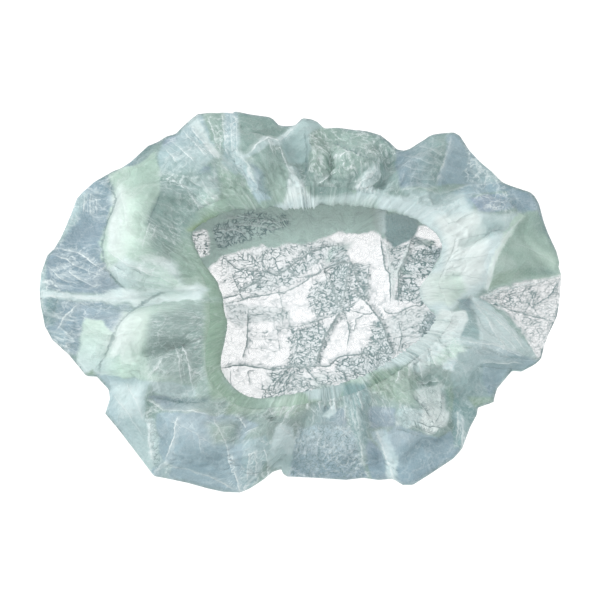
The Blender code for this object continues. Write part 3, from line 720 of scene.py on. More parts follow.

# Places of the upper layer with a tone painted on, in the same columns, with their corners as seen
# from the camera. Besides how many layers show through, the tones hold painted light and shade: painted
# highlights where pouches and gathers face the light, painted shade in valleys and on their far sides
upperFacets = (
    # left end, outside the two pouches
    ("slate", "blue", 90, 1.2, 0.7, ((-141, 90), (-150, 85), (-158, 77), (-164, 66), (-172, 48), (-184, 30),
     (-190, 18), (-141, 18), (-142, 55), (-135, 72))),
    ("slate", "slate", 0, 4, 0.15, ((-160, 52), (-143, 52), (-143, 36), (-168, 36))),
    ("pale", "paleBlue", 90, 1.5, 0.8, ((-158, 77), (-166, 66), (-172, 52), (-182, 38), (-174, 36),
     (-165, 50), (-160, 58), (-154, 74))),
    ("slate", "slate", 0, 1.5, 0.6, ((-190, 20), (-176, 32), (-160, 29), (-142, 20), (-139, 15), (-133, 6),
     (-125, 0), (-190, 0))),
    ("slate", "slate", 0, 1.2, 0.5, ((-184, 24), (-176, 34), (-158, 31), (-142, 20), (-150, 18), (-166, 24))),
    ("slate", "blue", 0, 1.2, 0.6, ((-188, -5), (-160, -6), (-125, -9), (-118, -10), (-125, -17), (-130, -25),
     (-136, -33), (-157, -30), (-161, -48), (-180, -36), (-188, -20))),
    ("paleBlue", "pale", 0, 2, 0.8, ((-192, 25), (-185, 25), (-183, 0), (-185, -28), (-192, -28))),
    ("deepTeal", "slate", 0, 1, 0.5, ((-182, -5), (-174, -6), (-170, -14), (-178, -27), (-183, -22))),
    ("ice", "white", 0, 1, 0.4, ((-190, 0), (-150, -2), (-135, 1), (-122, 4), (-110, 3), (-80, 3), (-70, 0),
     (-75, -6), (-100, -8), (-115, -9), (-125, -8), (-160, -6), (-190, -5))),
    ("white", "white", 0, 1.5, 0.2, ((-128, 1), (-112, 3), (-92, 3), (-86, -4), (-112, -7), (-126, -6))),
    ("paleBlue", "slate", 0, 2, 1, ((-180, -30), (-166, -28), (-157, -46), (-168, -48))),
    ("mint", "ice", 250, 1, 0.15, ((-156, -20), (-141, -22), (-134, -32), (-141, -47), (-146, -62),
     (-153, -63), (-161, -52), (-158, -38))),
    ("leaf", "leaf", 0, 0.8, 0.1, ((-153, -63), (-149, -58), (-146, -63))),
    # upper left pouch
    ("mint", "sage", 0, 1, 0.35, ((-141, 91), (-136, 80), (-134, 72), (-140, 65), (-141, 54), (-143, 42),
     (-146, 38), (-143, 24), (-139, 16), (-132, 6), (-125, 3), (-100, 2), (-75, 4), (-65, 10), (-75, 28),
     (-90, 42), (-95, 60), (-100, 75), (-103, 95), (-107, 108), (-120, 100), (-130, 96))),
    ("white", "mint", 0, 3.5, 0.1, ((-137, 74), (-131, 84), (-120, 70), (-117, 40), (-127, 24), (-138, 32),
     (-139, 50))),
    ("mint", "sage", 330, 3, 0.1, ((-128, 94), (-108, 104), (-104, 94), (-104, 72), (-118, 72), (-126, 84))),
    ("plain", "plain", 0, 3.5, 0.4, ((-110, 60), (-101, 72), (-80, 73), (-74, 60), (-82, 46), (-100, 42),
     (-110, 46))),
    ("plain", "sage", 270, 5, 0.5, ((-108, 44), (-84, 48), (-74, 36), (-84, 16), (-104, 24))),
    ("white", "ice", 0, 4, 0.4, ((-112, 26), (-84, 24), (-72, 8), (-90, 4), (-112, 6))),
    ("ice", "mint", 0, 2.5, 0.5, ((-139, 18), (-126, 26), (-106, 22), (-88, 10), (-86, 4), (-125, 3),
     (-133, 7))),
    ("sage", "leaf", 0, 4, 0.2, ((-92, 30), (-84, 42), (-74, 38), (-60, 12), (-56, -3), (-74, -5), (-84, 4))),
    ("white", "ice", 0, 3, 0.2, ((-90, 4), (-74, 6), (-66, 2), (-72, -6), (-90, -5))),
    # top left
    ("slate", "plain", 0, 0.8, 0.2, ((-132, 95), (-111, 113), (-105, 113), (-107, 106), (-118, 98))),
    ("paleBlue", "pale", 300, 1.2, 0.5, ((-104, 104), (-98, 118), (-90, 121), (-80, 132), (-74, 137),
     (-62, 112), (-61, 100), (-78, 88), (-101, 88))),
    ("violet", "paleBlue", 300, 1, 0.9, ((-101, 117), (-91, 122), (-91, 113), (-99, 111))),
    ("sage", "plain", 0, 1.2, 0.6, ((-74, 138), (-48, 139), (-45, 104), (-45, 90), (-61, 92), (-62, 112))),
    ("ice", "white", 300, 1, 0.4, ((-83, 130), (-76, 134), (-60, 105), (-60, 99), (-65, 103), (-72, 116))),
    ("plain", "pale", 300, 3, 0.9, ((-101, 88), (-61, 92), (-58, 75), (-66, 62), (-78, 72), (-98, 74))),
    ("slate", "plain", 270, 1, 0.3, ((-77, 88), (-70, 95), (-66, 93), (-65, 87))),
    ("leaf", "sage", 30, 3, 0.4, ((-60, 92), (-42, 90), (-30, 68), (-58, 58), (-78, 46), (-68, 62),
     (-58, 74))),
    ("lime", "leaf", 0, 2.5, 0.2, ((-80, 46), (-66, 58), (-58, 60), (-70, 47))),
    ("pale", "mint", 300, 2, 0.8, ((-72, 84), (-60, 74), (-62, 62), (-70, 66), (-80, 76))),
    # top
    ("deep", "deep", 0, 0.8, 0.1, ((-46, 138), (-22, 136), (-16, 127), (-8, 127), (-16, 117), (-25, 117),
     (-38, 104), (-46, 106))),
    ("pale", "paleBlue", 90, 1.2, 0.5, ((-56, 139), (-46, 139), (-44, 106), (-40, 100), (-46, 88), (-58, 96),
     (-56, 116))),
    ("plain", "sage", 270, 1, 0.2, ((-38, 102), (-26, 113), (-22, 112), (-10, 95), (-10, 70), (-28, 70),
     (-34, 84))),
    ("slate", "plain", 0, 2, 0.1, ((-35, 98), (-26, 90), (-22, 74), (-32, 72), (-33, 84))),
    ("ice", "paleBlue", 300, 1, 0.7, ((-46, 108), (-38, 103), (-33, 82), (-22, 71), (-30, 68), (-40, 82),
     (-46, 98))),
    ("pale", "pale", 90, 0.8, 0.1, ((-14, 112), (-4, 125), (1, 134), (10, 134), (17, 125), (8, 120), (4, 100),
     (-8, 98))),
    ("pale", "ice", 45, 0.8, 0.3, ((-38, 104), (-27, 117), (-20, 116), (-12, 122), (-4, 132), (0, 129),
     (-12, 114), (-16, 110), (-24, 111), (-37, 101))),
    ("sage", "plain", 0, 2, 1, ((17, 126), (48, 124), (70, 109), (67, 94), (52, 100), (30, 84), (8, 86),
     (4, 100), (8, 120))),
    ("deep", "plain", 0, 1.5, 0.3, ((3, 92), (30, 86), (38, 72), (6, 72))),
    ("white", "ice", 90, 1.5, 0.8, ((-10, 95), (-2, 95), (2, 80), (9, 70), (-12, 66), (-9, 80))),
    ("pale", "ice", 240, 1.2, 1, ((52, 97), (56, 91), (50, 80), (54, 70), (38, 68), (40, 78), (46, 88))),
    ("pale", "plain", 0, 2, 0.5, ((57, 92), (68, 98), (74, 80), (52, 70))),
    ("ice", "white", 0, 1.5, 0.8, ((-20, 66), (0, 72), (36, 68), (50, 73), (52, 58), (20, 58), (-20, 58))),
    ("ice", "ice", 45, 2.5, 0.6, ((100, -6), (90, -22), (70, -40), (46, -54), (60, -72), (86, -58),
     (106, -38), (112, -20))),
    ("ice", "white", 0, 1.5, 0.4, ((74, -38), (92, -20), (106, -34), (92, -50))),
    ("leaf", "ice", 90, 2.5, 0.8, ((12, 70), (28, 73), (46, 74), (58, 71), (58, 54), (30, 55), (12, 55))),
    ("white", "ice", 0, 1, 0.9, ((-16, 60), (-5, 66), (6, 67), (3, 58), (-6, 55))),
    # right hand peak
    ("slate", "plain", 0, 1, 0.25, ((70, 108), (95, 121), (107, 121), (97, 80), (72, 78), (68, 92))),
    ("greyBlue", "greyBlue", 90, 0.8, 0.1, ((107, 121), (114, 121), (121, 106), (118, 83), (97, 80))),
    ("blue", "pale", 0, 1, 0.8, ((114, 121), (130, 100), (147, 84), (118, 82), (121, 106))),
    ("sage", "plain", 0, 1, 0.2, ((95, 80), (118, 83), (108, 74), (84, 71), (76, 76))),
    ("paleBlue", "blue", 0, 1, 0.5, ((107, 74), (118, 82), (148, 85), (152, 78), (124, 74), (121, 60),
     (112, 66))),
    ("violet", "blue", 0, 1, 1, ((121, 72), (148, 76), (154, 64), (125, 59))),
    ("blue", "slate", 0, 1.2, 0.3, ((148, 85), (170, 76), (178, 50), (170, 58), (157, 58), (152, 68),
     (149, 76))),
    # gathers at the right of the opening
    ("ice", "ice", 0, 2.5, 0.35, ((54, 73), (84, 72), (100, 70), (115, 76), (122, 59), (158, 60), (146, 42),
     (137, 22), (132, 4), (124, -2), (112, -8), (100, -16), (84, -12), (80, 8), (92, 14), (98, 26), (96, 42),
     (84, 54), (64, 62), (56, 60))),
    ("pale", "ice", 0, 3, 0.5, ((72, 78), (108, 74), (120, 64), (104, 62), (84, 66))),
    ("white", "white", 0, 4, 0.2, ((96, 56), (124, 60), (132, 44), (130, 8), (112, -4), (94, 0), (88, 10),
     (100, 16), (104, 30))),
    ("mint", "white", 180, 3, 0.2, ((84, 12), (112, 14), (118, 0), (104, -10), (86, -8))),
    # pocket at the right end
    ("sage", "sage", 0, 0.7, 0.05, ((146, 43), (158, 58), (170, 62), (178, 47), (187, 20), (188, 12),
     (160, 8), (140, 2), (132, 1), (134, 12), (139, 28))),
    ("plain", "sage", 180, 3, 0.05, ((160, 60), (172, 60), (178, 44), (172, 44), (162, 54))),
    ("mint", "sage", 200, 2.5, 0.05, ((156, 47), (162, 43), (184, 24), (182, 19), (160, 34))),
    ("leaf", "deep", 0, 1.5, 0.05, ((133, 3), (140, 4), (160, 10), (186, 15), (172, 20), (140, 14))),
    ("white", "mint", 45, 0.7, 0.05, ((131, 3), (134, 3), (140, 26), (148, 42), (161, 58), (157, 60),
     (145, 45), (136, 28))),
    # one layer only, below the pocket
    ("single", "single", 0, 0.8, 0.3, ((126, -4), (140, 1), (160, 7), (190, 13), (190, -20), (176, -44),
     (170, -48), (158, -30), (146, -14))),
    ("singleGrey", "single", 350, 1.5, 0.5, ((130, -5), (140, 1), (160, 7), (170, 8), (166, -10), (150, -11),
     (140, -9))),
    ("singleGrey", "single", 0, 1.2, 0.4, ((148, -14), (164, -17), (172, -20), (170, -36), (160, -30))),
    # rays below them
    ("teal", "blue", 0, 1.5, 0.3, ((112, -6), (124, -5), (122, -25), (128, -42), (112, -38), (116, -20))),
    ("ice", "pale", 340, 0.8, 0.4, ((121, -3), (129, -5), (139, -13), (150, -25), (160, -36), (170, -47),
     (162, -50), (145, -42), (128, -35), (123, -20))),
    ("deepTeal", "teal", 270, 2, 0.3, ((118, -14), (123, -12), (128, -34), (118, -37), (114, -28))),
    ("pale", "paleBlue", 0, 0.7, 0.4, ((108, -33), (120, -34), (134, -37), (160, -49), (148, -49), (133, -42),
     (110, -40))),
    ("teal", "deepTeal", 0, 0.9, 0.4, ((131, -42), (148, -48), (165, -51), (160, -57), (133, -59),
     (127, -52))),
    ("ice", "paleBlue", 0, 0.9, 0.6, ((104, -42), (126, -42), (133, -45), (128, -53), (110, -60), (98, -58))),
    ("white", "ice", 270, 0.8, 0.6, ((99, -14), (118, -13), (118, -20), (112, -37), (103, -29), (98, -21))),
    ("ice", "mint", 300, 2.5, 0.8, ((76, -38), (97, -28), (103, -30), (112, -38), (118, -46), (96, -54),
     (64, -54))),
    ("white", "ice", 240, 2, 0.7, ((56, -46), (75, -37), (92, -23), (100, -12), (112, -24), (104, -40),
     (90, -52), (74, -58), (62, -60))),
    ("mint", "ice", 45, 2.5, 0.8, ((34, -56), (56, -50), (66, -60), (60, -70), (36, -70))),
    # lower right
    ("tealGrey", "greyBlue", 0, 1.2, 0.3, ((112, -45), (126, -41), (172, -50), (160, -60), (150, -60),
     (138, -83), (126, -88), (112, -84), (106, -64))),
    ("paleBlue", "blue", 250, 1.2, 0.3, ((130, -54), (149, -55), (142, -70), (135, -76), (130, -66))),
    ("leaf", "sage", 0, 1.2, 0.2, ((118, -78), (138, -78), (138, -84), (124, -87))),
    ("pale", "ice", 0, 1.2, 1, ((65, -96), (70, -82), (78, -88), (86, -88), (90, -105), (82, -98),
     (68, -103))),
    ("white", "white", 300, 1.2, 0.9, ((79, -75), (88, -70), (100, -68), (106, -72), (105, -86), (103, -100),
     (98, -102), (89, -106), (84, -96), (85, -85))),
    ("teal", "leaf", 0, 1.5, 0.5, ((100, -70), (107, -72), (108, -88), (102, -88))),
    ("teal", "deepTeal", 0, 1, 0.3, ((106, -94), (109, -74), (112, -84), (127, -88), (124, -98), (115, -118),
     (108, -108))),
    ("greyBlue", "blue", 300, 0.8, 0.2, ((68, -99), (84, -104), (96, -109), (106, -104), (112, -112),
     (113, -122), (100, -133), (80, -147), (70, -146), (66, -125), (61, -105))),
    ("paleBlue", "teal", 250, 1, 0.6, ((108, -90), (114, -88), (116, -112), (110, -116))),
    ("paleBlue", "ice", 270, 0.7, 0.3, ((50, -103), (60, -102), (68, -122), (68, -142), (63, -140),
     (56, -118))),
    ("blue", "slate", 90, 0.8, 0.2, ((46, -106), (56, -118), (63, -140), (50, -143), (46, -125))),
    ("blue", "slate", 0, 1.5, 0.4, ((48, -84), (66, -86), (66, -101), (50, -100))),
    ("leaf", "sage", 0, 3, 0.4, ((50, -60), (76, -52), (84, -66), (80, -84), (64, -80), (48, -72))),
    ("deepTeal", "teal", 90, 2, 0.4, ((28, -68), (48, -68), (48, -100), (46, -125), (36, -110), (32, -85))),
    ("paleBlue", "slate", 270, 2, 0.9, ((0, -100), (30, -96), (40, -112), (46, -138), (42, -143), (-10, -141),
     (-4, -112))),
    ("plain", "slate", 0, 1.5, 0.4, ((0, -84), (30, -84), (32, -98), (2, -101))),
    ("pale", "ice", 90, 0.8, 0.15, ((-15, -98), (-6, -101), (-4, -112), (-8, -136), (-16, -134), (-28, -127),
     (-20, -112))),
    ("paleBlue", "teal", 0, 1.2, 0.7, ((-42, -112), (-24, -106), (-20, -114), (-28, -128), (-34, -148),
     (-46, -150))),
    ("mint", "leaf", 0, 3, 0.7, ((-22, -80), (0, -74), (10, -82), (-4, -94), (-18, -90))),
    ("ice", "pale", 0, 2, 0.8, ((0, -68), (30, -66), (26, -82), (6, -80))),
    ("ice", "ice", 0, 0.7, 0.3, ((15, -92), (24, -80), (24, -89), (20, -93))),
    # lower left pouch
    ("mint", "plain", 0, 1, 0.3, ((-118, -9), (-124, -15), (-130, -24), (-136, -33), (-141, -46), (-145, -63),
     (-125, -64), (-106, -68), (-100, -78), (-66, -78), (-58, -60), (-56, -40), (-54, -10), (-75, -6),
     (-100, -8))),
    ("white", "mint", 350, 5, 0.05, ((-126, -12), (-106, -12), (-100, -22), (-108, -40), (-120, -54),
     (-138, -56), (-139, -38), (-132, -24))),
    ("ice", "mint", 0, 2, 0.2, ((-143, -50), (-130, -47), (-126, -60), (-127, -66), (-146, -63))),
    ("plain", "deep", 0, 4, 0.6, ((-106, -18), (-80, -12), (-64, -14), (-66, -62), (-82, -66), (-106, -60),
     (-108, -40))),
    ("leaf", "leaf", 0, 3, 0.15, ((-70, -8), (-52, -8), (-54, -45), (-56, -66), (-46, -80), (-62, -80),
     (-68, -60))),
    ("pale", "pale", 0, 0.8, 0.6, ((-107, -67), (-92, -68), (-76, -70), (-75, -77), (-98, -78), (-104, -75))),
    ("slate", "plain", 0, 0.7, 0.2, ((-108, -79), (-98, -78), (-66, -78), (-60, -86), (-80, -87),
     (-96, -88))),
    # lower left
    ("paleBlue", "pale", 0, 1, 0.2, ((-147, -62), (-126, -64), (-106, -68), (-110, -80), (-110, -96),
     (-103, -134), (-112, -134), (-142, -92), (-138, -80), (-140, -70))),
    ("ice", "ice", 0, 4, 0.15, ((-134, -70), (-112, -70), (-112, -94), (-128, -92))),
    ("ice", "pale", 0, 0.8, 1, ((-110, -95), (-103, -95), (-99, -126), (-105, -129))),
    ("greyBlue", "greyBlue", 0, 0.8, 0.15, ((-103, -90), (-84, -88), (-60, -92), (-45, -92), (-30, -98),
     (-40, -112), (-44, -151), (-56, -151), (-80, -145), (-96, -140), (-99, -126), (-102, -96))),
    ("sage", "plain", 0, 5, 0.5, ((-66, -98), (-44, -96), (-44, -112), (-62, -112))),
    ("leaf", "sage", 0, 3, 0.3, ((-52, -74), (-28, -74), (-24, -90), (-52, -92))),
    ("blue", "pale", 0, 1, 0.6, ((-108, -134), (-98, -126), (-91, -130), (-94, -141), (-104, -140))),
)

# Where the turned-up cloth is only one layer thick, so that its creases show as they do on the floor:
# how much, and corners
singleLayers = (
    (1, ((126, -4), (140, 1), (160, 7), (190, 13), (190, -20), (176, -44), (170, -48), (158, -30),
     (146, -14))),
    (0.2, ((79, -75), (88, -70), (100, -68), (106, -72), (105, -86), (103, -100), (89, -106), (68, -103),
     (65, -96), (70, -82))),
    (0.4, ((0, -100), (30, -96), (40, -112), (46, -138), (42, -143), (-10, -141), (-4, -112))),
    (0.4, ((-108, -95), (-103, -95), (-99, -126), (-104, -129))),
)

# Tints as they look in place, with the light and shade that falls there painted in: red, green, blue,
# and how much of what lies below they hide
clothTints = {
    "plain": (155, 176, 172, 0.88), "deep": (147, 169, 164, 0.9), "sage": (171, 192, 183, 0.88),
    "leaf": (154, 178, 162, 0.9), "lime": (170, 193, 150, 0.9), "mint": (210, 231, 220, 0.9),
    "white": (243, 255, 251, 0.95), "ice": (219, 235, 236, 0.9), "pale": (190, 209, 209, 0.86),
    "paleBlue": (185, 205, 211, 0.86), "blue": (160, 180, 190, 0.86), "slate": (154, 172, 183, 0.88),
    "teal": (152, 179, 180, 0.88), "deepTeal": (143, 169, 170, 0.92), "violet": (170, 184, 200, 0.86),
    "single": (249, 252, 252, 0.28), "singleGrey": (245, 250, 251, 0.38), "contact": (253, 254, 255, 0.22),
    "floorPale": (234, 240, 241, 0.5), "floorGrey": (236, 242, 244, 0.54), "floorBlue": (230, 240, 242, 0.64),
    "lifted": (188, 212, 205, 0.9), "greyBlue": (168, 188, 196, 0.88), "tealGrey": (166, 188, 188, 0.88),
}
seenBelow = {"floor": 1.05, "top": 0.72}  # brightness of what lies under each layer
washedOut = 1.18  # how much stronger the cloth's own colour is than it looks


def linearLight(values):
    value = np.asarray(values) / 255
    return np.where(value <= 0.04045, value / 12.92, ((value + 0.055) / 1.055) ** 2.4)


def toneOf(name, below):
    # what lies below shines through and the light washes colour out, so the cloth's colour, painted light
    # and shade included, is deeper
    *seen, cover = clothTints[name]
    seen = np.mean(seen) + washedOut * (np.array(seen) - np.mean(seen))
    own = (linearLight(seen) - (1 - cover) * below) / cover
    return np.append(np.clip(own, 0.02, 1.0), cover)


def insideShare(x, y, corners, soft):
    # 1 well inside a polygon, 0 well outside, with a soft border
    inside = np.zeros(x.shape, bool)
    loop = list(corners) + [corners[0]]
    for (ax, ay), (bx, by) in zip(loop[:-1], loop[1:]):
        crosses = (ay > y) != (by > y)
        at = ax + (y - ay) / np.where(by == ay, 1e-9, by - ay) * (bx - ax)
        inside ^= crosses & (x < at)
    distance = np.abs(pathDistance(x, y, loop)[0])
    return ramp(np.where(inside, distance, -distance), -soft, soft)


def nearBox(x, y, corners, margin):
    xs, ys = zip(*corners)
    return (x > min(xs) - margin) & (x < max(xs) + margin) & (y > min(ys) - margin) & (y < max(ys) + margin)


# How far folds and the borders of painted places wander off their lines: size and amount of each swell
foldWander = ((9, 0.7), (3, 0.25))
facetWander = ((9, 1.3), (3.5, 0.6))
foldFades = (3.0, 5.0)  # millimetres from a fold's line between which its mark fades away
farOff = 9.0  # distance, in half widths, where no fold is near


def wanderOf(x, y, swells, seed):
    return sum(amount * latticeNoise(x / size, y / size, seed + i) for i, (size, amount) in enumerate(swells))


def foldField(x, y, folds, seed):
    # how far the cloth rises, and for pale and dark folds the signed distance to the nearest one (in half
    # widths) and its strength; a fold thins out and breaks up towards its ends
    rise = np.zeros(x.shape)
    lines = {}
    for kind in ("pale", "dark"):
        lines[kind] = {"distance": np.full(x.shape, farOff), "force": 0 * x, "reach": 0 * x}
    wanderX, wanderY = wanderOf(x, y, foldWander, seed), wanderOf(x, y, foldWander, seed + 2)
    broken = 0.72 + 0.28 * latticeNoise(x / 5, y / 5, seed + 4)
    for half, height, paleness, darkness, path in folds:
        near = nearBox(x, y, path, 6 * half + 4)
        if not near.any():
            continue
        distance, place = pathDistance(x[near] + wanderX[near], y[near] + wanderY[near], path)
        ends = ramp(place, -0.05, 0.12) * (1 - ramp(place, 0.85, 1.05))
        rise[near] += height * np.exp(-np.abs(distance) / half) * (0.35 + 0.65 * ends)
        places = np.nonzero(near)
        for kind, strength in (("pale", paleness), ("dark", darkness)):
            force = strength * ends * broken[near] * (1 - ramp(np.abs(distance), *foldFades))
            reach = force * np.exp(-np.abs(distance) / 1.5)
            wins = reach > lines[kind]["reach"][near]
            at = tuple(axis[wins] for axis in places)
            for field, value in (("distance", distance / half), ("force", force), ("reach", reach)):
                lines[kind][field][at] = value[wins]
    return rise, lines


def paintFacets(values, x, y, facets, below, seed):
    # lays each facet's own colour, cover and crinkling over what is there already
    wanderX, wanderY = wanderOf(x, y, facetWander, seed), wanderOf(x, y, facetWander, seed + 2)
    for tint, farTint, toward, soft, crinkled, corners in facets:
        near = nearBox(x, y, corners, soft + 3)
        if not near.any():
            continue
        px, py = x[near] + wanderX[near], y[near] + wanderY[near]
        share = insideShare(px, py, corners, soft)[..., None]
        alongX, alongY = math.cos(math.radians(toward)), math.sin(math.radians(toward))
        ends = [cx * alongX + cy * alongY for cx, cy in corners]
        t = np.clip((px * alongX + py * alongY - min(ends)) / (max(ends) - min(ends)), 0, 1)[..., None]
        wanted = toneOf(tint, below) * (1 - t) + toneOf(farTint, below) * t
        values[near] += (np.append(wanted, np.full(t.shape, crinkled), -1) - values[near]) * share


# The hem: the sheet's edge folded round the elastic and drawn into pleats
hemForm = {
    "around": 1320,
    "pleatKinds": ((62, 1.0, 0), (170, 0.4, 7)),  # how many, share of the height, offset of the seed
    "pleatHeight": 1.6,
    "tooth": 2.8,  # how far a pleat reaches into the opening
    "thickness": 0.5,  # clear of the elastic, above and below
    "bulges": ((2, 11, 6.0), (43, 8, 3.5), (97, 17, 5.5), (208, 14, 5.6)),  # bearing, spread, how far in
    "flatRadius": (250, 272),  # where the hem's section starts and ends on the flat sheet, for its web
    "seed": 21,
    "roughSeed": 23,
}


def pleatWave(bearing):
    angle = np.radians(bearing)
    total = 0
    for count, share, offset in hemForm["pleatKinds"]:
        seed = hemForm["seed"] + offset
        drift = 2.6 * latticeNoise(7 * np.cos(angle) + 30, 7 * np.sin(angle) + 30, seed)
        wave = 1 - 2 * np.abs(np.sin(np.pi * (bearing * count / 360 + drift))) ** 0.8
        uneven = 0.55 + 0.45 * latticeNoise(20 * np.cos(angle), 20 * np.sin(angle), seed + 1)
        total = total + share * wave * uneven
    return total


# The gathers outside the hem: how many round the cap, where they start and end, height, offset of the seed
gatherBands = ((96, 4, 22, 1.3, 5), (46, 5, 46, 1.9, 11))
hemPleatsEnd = (2, 13)  # distances from the hem between which its own pleats fade


def gatherField(bearing, fromHem, seed):
    # the pleats that the elastic draws in: fine at the hem, joining into fewer and wider ones further out
    total = hemForm["pleatHeight"] * pleatWave(bearing) * (1 - ramp(fromHem, *hemPleatsEnd))
    for count, near, far, height, offset in gatherBands:
        angle = np.radians(bearing)
        drift = 1.1 * latticeNoise(9 * np.cos(angle) + 20, 9 * np.sin(angle) + fromHem / 30, seed + offset)
        turn = bearing * count / 360 + drift
        wave = 4 * np.abs(turn - np.floor(turn) - 0.5) - 1
        uneven = 0.55 + 0.45 * latticeNoise(bearing / 360 * noiseCells / 2, fromHem / 18, seed + offset + 1)
        envelope = ramp(fromHem, near - 3, near + 4) * (1 - ramp(fromHem, far * 0.25, far))
        total += height * wave * uneven * envelope
    return total


# How the cloth settles: it is let grow a little between its hem and the table, so that it buckles by itself
settling = {
    "ringsKept": 75,
    "bearingStep": 2,
    "scale": 10.0,  # simulated ten times life size
    "quality": 6,
    "mass": 0.02,
    "stretching": 20,
    "shearing": 8,
    "bending": 0.4,
    "airDamping": 2,
    "gravity": 0.3,
    "growth": 0.05,
    "pinStiffness": 2,
    "edgePin": 0.35,
    "pinnedBelow": 0.8,  # millimetres
    "pinnedAtHem": 3,  # rings
    "frames": 22,
    "tableReach": 4000,
    "tableGap": 0.003,
    "selfGap": 0.004,
    "mostMove": 5.0,  # millimetres
    "layers": (0.4, 0.95),  # the cloth moves more and more between these layers,
    "inwards": (0, 0.22),  # between these shares of the way in
    "stand": (0.1, 0.5),  # and where the edge is turned up between so much
    "jitter": 0.25,
    "seed": 4,
}


def catmullRom(values, places, closed):
    # values along the first axis read at fractional places
    count = len(values)
    here = np.floor(places).astype(int)
    s = (places - here)[:, None, None]
    picks = [here - 1, here, here + 1, here + 2]
    picks = [p % count if closed else np.clip(p, 0, count - 1) for p in picks]
    a, b, c, d = (values[p] for p in picks)
    return 0.5 * (2 * b + (c - a) * s + (2 * a - 5 * b + 4 * c - d) * s**2 + (3 * b - a - 3 * c + d) * s**3)


def settleCloth(points, layers):
    # cloth simulation of a coarser copy; returns how far each point moves
    rings, around = points.shape[:2]
    kept = np.linspace(0, rings - 1, settling["ringsKept"]).round().astype(int)
    coarse = points[kept][:, :: settling["bearingStep"]]
    layer = layers[kept][:, :: settling["bearingStep"]]
    jitter = np.random.RandomState(settling["seed"]).randn(*coarse.shape) * settling["jitter"]
    pinned = np.where((layer < 0.02) & (coarse[..., 2] < settling["pinnedBelow"]), 1.0, 0.0)
    pinned = np.maximum(pinned, np.where((layer > 0.02) & (layer < 0.98), settling["edgePin"], 0.0))
    pinned[-settling["pinnedAtHem"] :] = 1.0
    start = coarse + jitter * (1 - pinned[..., None])
    scale = settling["scale"]
    piece = meshFromGrid("settling_cloth", start * scale)
    group = piece.vertex_groups.new(name="pinned")
    weights = pinned.ravel()
    for weight in np.unique(weights[weights > 0]):
        group.add(np.flatnonzero(weights == weight).tolist(), float(weight), "REPLACE")
    reach = settling["tableReach"]
    corners = [[(x, y, 0) for x in (-reach, reach)] for y in (-reach, reach)]
    table = meshFromGrid("settling_table", np.array(corners, float))  # a square that faces both up and down
    table.modifiers.new("table", "COLLISION")
    table.collision.thickness_outer = settling["tableGap"]
    cloth = piece.modifiers.new("cloth", "CLOTH")
    how = cloth.settings
    how.quality = settling["quality"]
    how.mass = settling["mass"]
    how.tension_stiffness = how.compression_stiffness = settling["stretching"]
    how.shear_stiffness = settling["shearing"]
    how.bending_stiffness = settling["bending"]
    how.air_damping = settling["airDamping"]
    how.vertex_group_mass = "pinned"
    how.pin_stiffness = settling["pinStiffness"]
    how.shrink_min = how.shrink_max = -settling["growth"]
    how.effector_weights.gravity = settling["gravity"]
    cloth.collision_settings.distance_min = settling["selfGap"]
    cloth.point_cache.frame_start = 1
    cloth.point_cache.frame_end = settling["frames"] + 1
    for step in range(1, settling["frames"] + 1):
        scene.frame_set(step)
    settled = piece.evaluated_get(bpy.context.evaluated_depsgraph_get())
    place = np.empty(coarse.size, np.float32)
    settled.data.vertices.foreach_get("co", place)
    moved = place.reshape(coarse.shape) * 1000 / scale - coarse
    for helper in (piece, table):
        bpy.data.objects.remove(helper)
    scene.frame_set(1)
    far = lengthOf(moved)
    moved *= np.minimum(1, settling["mostMove"] / np.maximum(far, 1e-6))
    moved = catmullRom(moved, np.interp(np.arange(rings), kept, np.arange(len(kept))), False)
    moved = np.swapaxes(moved, 0, 1)
    moved = catmullRom(moved, np.arange(around) / settling["bearingStep"], True)
    return np.swapaxes(moved, 0, 1)


# Small crumples of both layers: size, height, seed, and on top how much each facet is painted lighter or
# darker, painted light and shade of facets turned to and from the light, and of more or fewer layers
topCrumples = ((34, 2.2, 70, 0.09), (15, 1.1, 71, 0.08), (6.5, 0.6, 72, 0.05))
floorCrumples = ((20, 0.8, 80), (9, 0.7, 81), (4.5, 0.5, 82))
sheetLook = {
    "baseFloor": ("contact", 0.24),  # tint, how crinkled
    # the lower layer where it leaves the table takes a darker tint, painted shade
    "baseLifted": ("lifted", 0.3),
    "baseTop": ("plain", 0.5),
    "baseHem": ("sage", 0.4),
    "floorSeed": 100,
    "topSeed": 110,
    "floorFoldSeed": 40,
    "topFoldSeed": 60,
    "gatherSeed": 90,
    "edgeSeed": 95,
    "floorFoldForce": 1.5,
    "edgeForce": 0.8,
    "floorThickness": 0.7,  # how far the crown's floor lies above the table, in millimetres
    "lowest": 0.25,
    "liftedFrom": (1.5, 5.0),  # heights between which the lower layer takes the tint of lifted cloth
    "upperFrom": (0.2, 0.8),  # layers between which the looks of the upper one take over
    "heldFrom": (0.97, 1.0),  # shares of the way in between which the seam holds the cloth
    "bendShows": (0.05, 0.3),  # how sharp a bend is where it starts to look paler or darker, and where most
    "tubeRadius": 110,  # the tube that the streaks are laid along
}


def baseLook(kind, below, shape):
    # colour, cover and crinkling before anything is painted over them
    tint, crinkled = sheetLook[kind]
    return np.append(toneOf(tint, seenBelow[below]), crinkled) * np.ones(shape + (5,))


